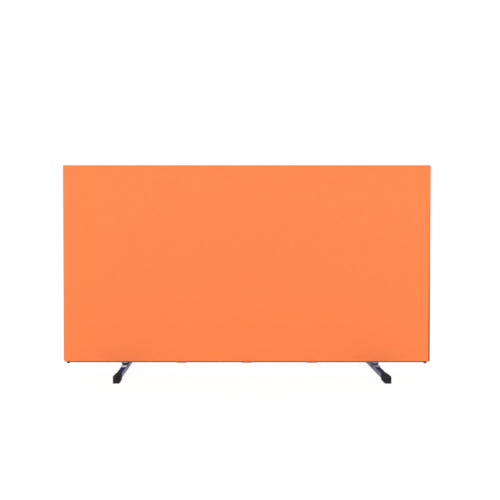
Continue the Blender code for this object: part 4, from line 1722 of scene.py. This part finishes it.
@dataclass(frozen=True)
class BlindRivet:
    """A blind rivet with a domed head round the end of its mandrel.

    Mandrel rows are shares of the mandrel's radius and of the bore's depth.
    """

    head_radius: float = 0.0042
    head_height: float = 0.0014
    head_rim: float = 0.0002
    dome_angle: float = 68
    dome_steps: int = 8
    shank_share: float = 0.57
    bulb_share: float = 0.81
    bulb_heights: Axes = (0.0034, 0.0023, 0.0011)
    bore_radius: float = 0.0013
    bore_depth: float = 0.0008
    bore_edge: float = 0.0001
    mandrel_radius: float = 0.00115
    mandrel_rows: Profile = ((0.6, 0.45), (1.0, 0.6), (1.0, 1.0))
    steps: int = 40

    def build(self, name: str, node: str) -> Piece:
        """A rivet in its node's place.

        Args:
            name: The piece's name.
            node: The frame's node that it stands for.

        Returns:
            The rivet.
        """
        low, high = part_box(node)
        seat = high.z - self.head_height
        shank, bulb = self.head_radius * self.shank_share, self.head_radius * self.bulb_share
        neck, upper, lower = (low.z + height for height in self.bulb_heights)
        rim, rise = seat + self.head_rim, self.head_height - self.head_rim
        angles = np.linspace(0, math.radians(self.dome_angle), self.dome_steps)
        dome = [(self.head_radius * math.cos(angle), rim + rise * math.sin(angle)) for angle in angles]
        crown = dome[-1][1]
        rows = [
            *((self.mandrel_radius * out, crown - self.bore_depth * down) for out, down in self.mandrel_rows),
            (self.bore_radius, crown - self.bore_depth),
            (self.bore_radius, crown - self.bore_edge),
            *reversed(dome),
            (self.head_radius, seat),
            (shank, seat),
            (shank, neck),
            (bulb, upper),
            (bulb, lower),
            (shank, low.z),
        ]
        return turned(name, rows, axis_of(node), self.steps, ring=False)


@dataclass
class PivotSet:
    """The bolt, nut, washers, sleeve and boss that a foot turns on.

    Collar and insert rows are (radius, height) from the nut's collar and its top.
    """

    side: Side
    finishes: Finishes
    wear: PivotPaintedLight
    kept: SmoothShading
    gap: float = 0.0003
    across_flats: float = 0.0130
    shank_radius: float = 0.0040
    shank_end_share: float = 0.9
    shank_hollow: float = 0.0002
    chamfer: float = 0.0006
    washer_face_share: float = 0.95
    washer_face_height: float = 0.0003
    thread_pitch: float = 0.00125
    thread_depth: float = 0.00060
    thread_clear: float = 0.0002
    thread_steps: int = 8
    thread_slope: float = 1.35
    thread_root: float = 0.15
    collar_radius: float = 0.0060
    collar_height: float = 0.0018
    collar_rows: Profile = (
        (-0.0011, 0.0010), (-0.0011, 0.0002), (-0.0008, 0.0), (-0.0003, 0.0002), (0.0, 0.0007)
    )
    insert_rows: Profile = ((-0.0016, 0.0004), (-0.0013, 0.0006), (-0.0013, 0.00095))
    insert_gap: float = 0.0002
    boss_height: float = 0.0027
    spigot_radius: float = 0.0070
    rim_chamfer: float = 0.0005
    rim_ease: float = 0.3
    steps: int = 72

    def __post_init__(self) -> None:
        """Works out the sizes that several pieces share."""
        self.bore = self.shank_radius + self.gap
        self.flats = self.hexagon(self.across_flats / 2)
        self.corners = self.hexagon(self.across_flats / 2 / math.cos(math.pi / 6))

    def hexagon(self, limit: float) -> Curve:
        """A hexagon's edge as a radius by angle, its corners cut at a limit."""
        sixth = math.pi / 3
        return lambda angles: np.minimum(self.across_flats / 2 / np.cos(angles % sixth - sixth / 2), limit)

    def flank(self, share: np.ndarray) -> np.ndarray:
        """The thread's height at a share of its pitch, 0 in the root and 1 on the crest."""
        return np.clip(self.thread_slope * (1 - np.abs(2 * share - 1)) - self.thread_root, 0, 1)

    def thread(self, height: float) -> Curve:
        """The bolt's radius by angle at one height of its thread."""
        turns, crest = height / self.thread_pitch, self.shank_radius
        return lambda a: crest - self.thread_depth * (1 - self.flank((turns - a / (2 * math.pi)) % 1))

    def box(self, node: str) -> tuple[Vector, Vector]:
        """The lowest and highest corners of one of this pivot's nodes."""
        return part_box(f"{self.side.label}_{node}")

    def turn(self, name: str, node: str, rows: Sequence[Row], ring: bool = True) -> Piece:
        """A piece of this pivot, turned about its node's axis."""
        side = self.side.label
        return turned(f"{side}_{name}", rows, axis_of(f"{side}_{node}"), self.steps, ring)

    def rim(self, radius: float, low: float, high: float) -> list[Point]:
        """Rows down an upright rim with eased chamfers.

        Args:
            radius: The rim's radius.
            low: The height of its foot.
            high: The height of its top.

        Returns:
            (radius, height) of three rows for its top and three for its foot.
        """
        edge, ease = self.rim_chamfer, self.rim_chamfer * self.rim_ease
        steps = ((edge, 0.0), (ease, ease), (0.0, edge))
        top = [(radius - inward, high - down) for inward, down in steps]
        return top + [(radius - inward, low + up) for inward, up in reversed(steps)]

    def bolt(self) -> Piece:
        """The bolt, its head inside the foot and its thread up through the nut."""
        low, high = self.box("pivot_bolt")
        head_top = self.box("spring_washer")[0].z - self.gap
        face, face_foot = self.across_flats / 2 * self.washer_face_share, head_top - self.washer_face_height
        start = self.box("crush_sleeve")[1].z
        rows = [
            (self.shank_radius * self.shank_end_share, low.z + self.shank_hollow),
            (self.shank_radius, low.z),
            (self.flats, low.z),
            (self.corners, low.z + self.chamfer),
            (self.corners, face_foot),
            (face, face_foot),
            (face, head_top),
            (self.shank_radius, head_top),
            (self.shank_radius, start),
        ]
        step = self.thread_pitch / self.thread_steps
        heights = np.arange(start + self.thread_clear, high.z - self.chamfer, step)
        rows += [(self.thread(height), height) for height in heights]
        rows.append((self.shank_radius - self.chamfer, high.z))
        return self.turn("bolt", "pivot_bolt", rows, ring=False)

    def nut(self) -> Piece:
        """The lock nut, chamfered at both ends, with its round collar."""
        low, high = self.box("lock_nut")
        shoulder = high.z - self.collar_height
        lip = [(self.collar_radius + out, high.z - down) for out, down in self.collar_rows]
        rows = [
            (self.bore, lip[0][1]),
            *lip,
            (self.collar_radius, shoulder),
            (self.flats, shoulder),
            (self.corners, shoulder - self.chamfer),
            (self.corners, low.z + self.chamfer),
            (self.flats, low.z),
            (self.bore, low.z),
        ]
        return self.turn("nut", "lock_nut", rows)

    def nut_insert(self) -> Piece:
        """The plastic ring in the nut's collar, which grips the thread."""
        high = self.box("lock_nut")[1]
        inner = self.shank_radius + self.insert_gap
        outer = [(self.collar_radius + out, high.z - down) for out, down in self.insert_rows]
        return self.turn("nut_insert", "lock_nut", [(inner, outer[0][1]), *outer, (inner, outer[-1][1])])

    def boss(self) -> Piece:
        """The steel boss that carries the rail, its spigot up in the rail's lower wall."""
        low, high = self.box("swivel_boss")
        top, ease = low.z + self.boss_height, self.rim_chamfer / 2
        rows = [
            (self.bore, high.z),
            (self.spigot_radius - ease, high.z),
            (self.spigot_radius, high.z - ease),
            (self.spigot_radius, top),
            *self.rim((high.x - low.x) / 2, low.z, top),
            (self.bore, low.z),
        ]
        return self.turn("boss", "swivel_boss", rows)

    def friction_washer(self) -> Piece:
        """The nylon washer between boss and foot, with a shallow lubricant groove on its rim."""
        low, high = self.box("friction_washer")
        radius, middle, half = (high.x - low.x) / 2, (low.z + high.z) / 2, self.rim_chamfer / 2
        groove = [(radius, middle + half), (radius - half, middle), (radius, middle - half)]
        rim = self.rim(radius, low.z, high.z)
        rows = [(self.bore, high.z), *rim[:3], *groove, *rim[3:], (self.bore, low.z)]
        return self.turn("nylon_washer", "friction_washer", rows)

    def build(self) -> None:
        """Builds and dresses the pivot."""
        side = self.side.label
        pivot = axis_of(f"{side}_swivel_boss")
        zinc = self.finishes.zinc.make(f"{side}_pivot_zinc", pivot[0])
        # The boss in its painted colour, with painted shade on its lower part.
        painted_light = self.wear.boss(self.finishes.plate_zinc, self.box("swivel_boss")[0].z)
        painted_light = painted_light.make(f"{side}_boss_zinc", pivot[0])
        steel = self.finishes.steel.make(f"{side}_pivot_steel", pivot[0])
        nylon = self.finishes.nylon.make(f"{side}_washer_nylon", pivot)
        insert = self.finishes.nut_ring.make(f"{side}_insert_nylon")
        joined(self.friction_washer(), "frame", "black_nylon", nylon, f"{side}_friction_washer")
        joined(self.boss(), "frame", "zinc", painted_light, f"{side}_swivel_boss")
        joined(self.bolt(), "frame", "zinc", zinc, f"{side}_pivot_bolt")
        joined(self.nut(), "frame", "zinc", zinc, f"{side}_lock_nut")
        joined(self.nut_insert(), "frame", "navy_plastic", insert)
        for node, metal in (("flat_washer", zinc), ("spring_washer", steel), ("crush_sleeve", steel)):
            self.kept.finish(f"{side}_{node}", metal)


@dataclass
class SwivelFoot:
    """A foot: its tube and plate from the frame, and new caps and rivets."""

    side: Side
    finishes: Finishes
    wear: PivotPaintedLight
    kept: SmoothShading
    cap: RubberCap = RubberCap()
    rivet: BlindRivet = BlindRivet()

    def build(self) -> None:
        """Builds and dresses the foot."""
        side = self.side.label
        body = f"{side}_foot"
        pivot = axis_of(f"{side}_foot_plate")[0]
        # The tube and plate take painted shade round the pivot, and the plate's colour is scaled by painted
        # light.
        paint = self.wear.paint(self.finishes.paint).make(f"{side}_foot_powder_coat", pivot)
        self.kept.finish(f"{side}_foot_tube", paint)
        painted_light = self.wear.plate(self.finishes.plate_zinc).make(f"{side}_plate_zinc", pivot)
        self.kept.finish(f"{side}_foot_plate", painted_light)
        zinc = self.finishes.plate_zinc.make(f"{side}_rivet_zinc", pivot)
        rubber = self.finishes.rubber.make(f"{side}_cap_rubber")
        for tip in Tip:
            start = f"{side}_{tip.label}"
            cap = self.cap.build(f"{start}_rubber_cap", f"{start}_cap", tip)
            joined(cap, body, "black_rubber", rubber, f"{start}_cap")
            rivet = self.rivet.build(f"{start}_blind_rivet", f"{start}_rivet")
            joined(rivet, body, "zinc", zinc, f"{start}_rivet")


@dataclass
class Studio:
    """A white floor, plain soft light and the camera at the photograph's angle.

    A sun is (name, angle round from the front, angle up, strength).
    """

    camera_place: Axes = (-0.0691, -1.9407, 0.5706)
    camera_dip: float = 0.0137
    lens: float = 36.46
    sensor_width: float = 36
    shift: Point = (0.0426, -0.0435)
    floor_reach: float = 14.0
    floor_steps: int = 48
    ambient: float = 0.885
    floor_colour: Colour = (0.90, 0.90, 0.90)
    floor_shown: Colour = (0.15, 0.15, 0.15)
    floor_glow: float = 0.872
    suns: tuple[tuple[str, float, float, float], ...] = (("key", -28, 48, 0.74), ("back", 160, 42, 0.52))
    sun_width: float = 50.0

    def camera(self) -> None:
        """Makes the camera."""
        data = bpy.data.cameras.new("camera")
        data.lens = self.lens
        data.sensor_width = self.sensor_width
        data.shift_x, data.shift_y = self.shift
        obj = placed("camera", data)
        obj.location = self.camera_place
        obj.rotation_euler = (math.pi / 2 - self.camera_dip, 0, 0)
        bpy.context.scene.camera = obj

    def seen(self, wiring: NodeWiring) -> Socket:
        """Whether a ray comes straight from the camera, or by a mirror or glass.

        Args:
            wiring: The tree to add to.

        Returns:
            1 for such a ray, else 0.
        """
        path = wiring.add("ShaderNodeLightPath")
        shown = wiring.maths("MAXIMUM", path.outputs["Is Camera Ray"], path.outputs["Is Glossy Ray"])
        return wiring.maths("MAXIMUM", shown, path.outputs["Is Transmission Ray"])

    def world(self) -> None:
        """A white world, a little dimmer as a light than as a backdrop."""
        world = bpy.data.worlds.new("studio")
        world.use_nodes = True
        bpy.context.scene.world = world
        wiring = NodeWiring(world.node_tree)
        sky = world.node_tree.nodes["Background"]
        wiring.feed(sky.inputs["Color"], (1, 1, 1, 1))
        strength = wiring.maths("MULTIPLY_ADD", self.seen(wiring), 1 - self.ambient, self.ambient)
        wiring.feed(sky.inputs["Strength"], strength)

    def lamps(self) -> None:
        """Soft suns in front and behind."""
        for name, azimuth, height, strength in self.suns:
            data = bpy.data.lights.new(name, "SUN")
            data.energy = strength
            data.angle = math.radians(self.sun_width)
            around, up = math.radians(azimuth), math.radians(height)
            level = math.cos(up)
            away = Vector((math.sin(around) * level, -math.cos(around) * level, math.sin(up)))
            placed(name, data).rotation_euler = away.to_track_quat("Z", "Y").to_euler()

    def floor(self) -> None:
        """A wide white floor that still takes the barrier's soft shadow."""
        angles = round_angles(self.floor_steps)
        edge = np.stack([np.cos(angles), np.sin(angles), np.zeros_like(angles)], 1) * self.floor_reach
        floor = mesh_piece("floor", edge, [tuple(range(len(edge)))])
        material = bpy.data.materials.new("studio_floor")
        material.use_nodes = True
        wiring = NodeWiring(material.node_tree)
        material.node_tree.nodes.clear()
        lit, bright = (
            wiring.add("ShaderNodeBsdfDiffuse", {"Color": shade(colour)}).outputs[0]
            for colour in (self.floor_colour, self.floor_shown)
        )
        glow = wiring.add("ShaderNodeEmission", {"Strength": self.floor_glow}).outputs[0]
        white = wiring.add("ShaderNodeAddShader", {0: bright, 1: glow}).outputs[0]
        mixed = wiring.add("ShaderNodeMixShader", {0: self.seen(wiring), 1: lit, 2: white})
        wiring.add("ShaderNodeOutputMaterial", {"Surface": mixed.outputs[0]})
        dress(floor, material)

    def build(self) -> None:
        """Makes the stage."""
        self.camera()
        self.world()
        self.lamps()
        self.floor()
        bpy.context.scene.view_settings.view_transform = "Standard"


def main() -> None:
    """Builds the studio and the barrier."""
    logging.basicConfig(level=logging.INFO, format="%(name)s: %(message)s")
    finishes = Finishes()
    Studio().build()
    Cover(finishes).build()
    kept = SmoothShading()
    TubeFrame(finishes, kept).build()
    for side, wear in PIVOT_PAINTED_LIGHT.items():
        PivotSet(side, finishes, wear, kept).build()
        SwivelFoot(side, finishes, wear, kept).build()


if __name__ == "__main__":
    main()
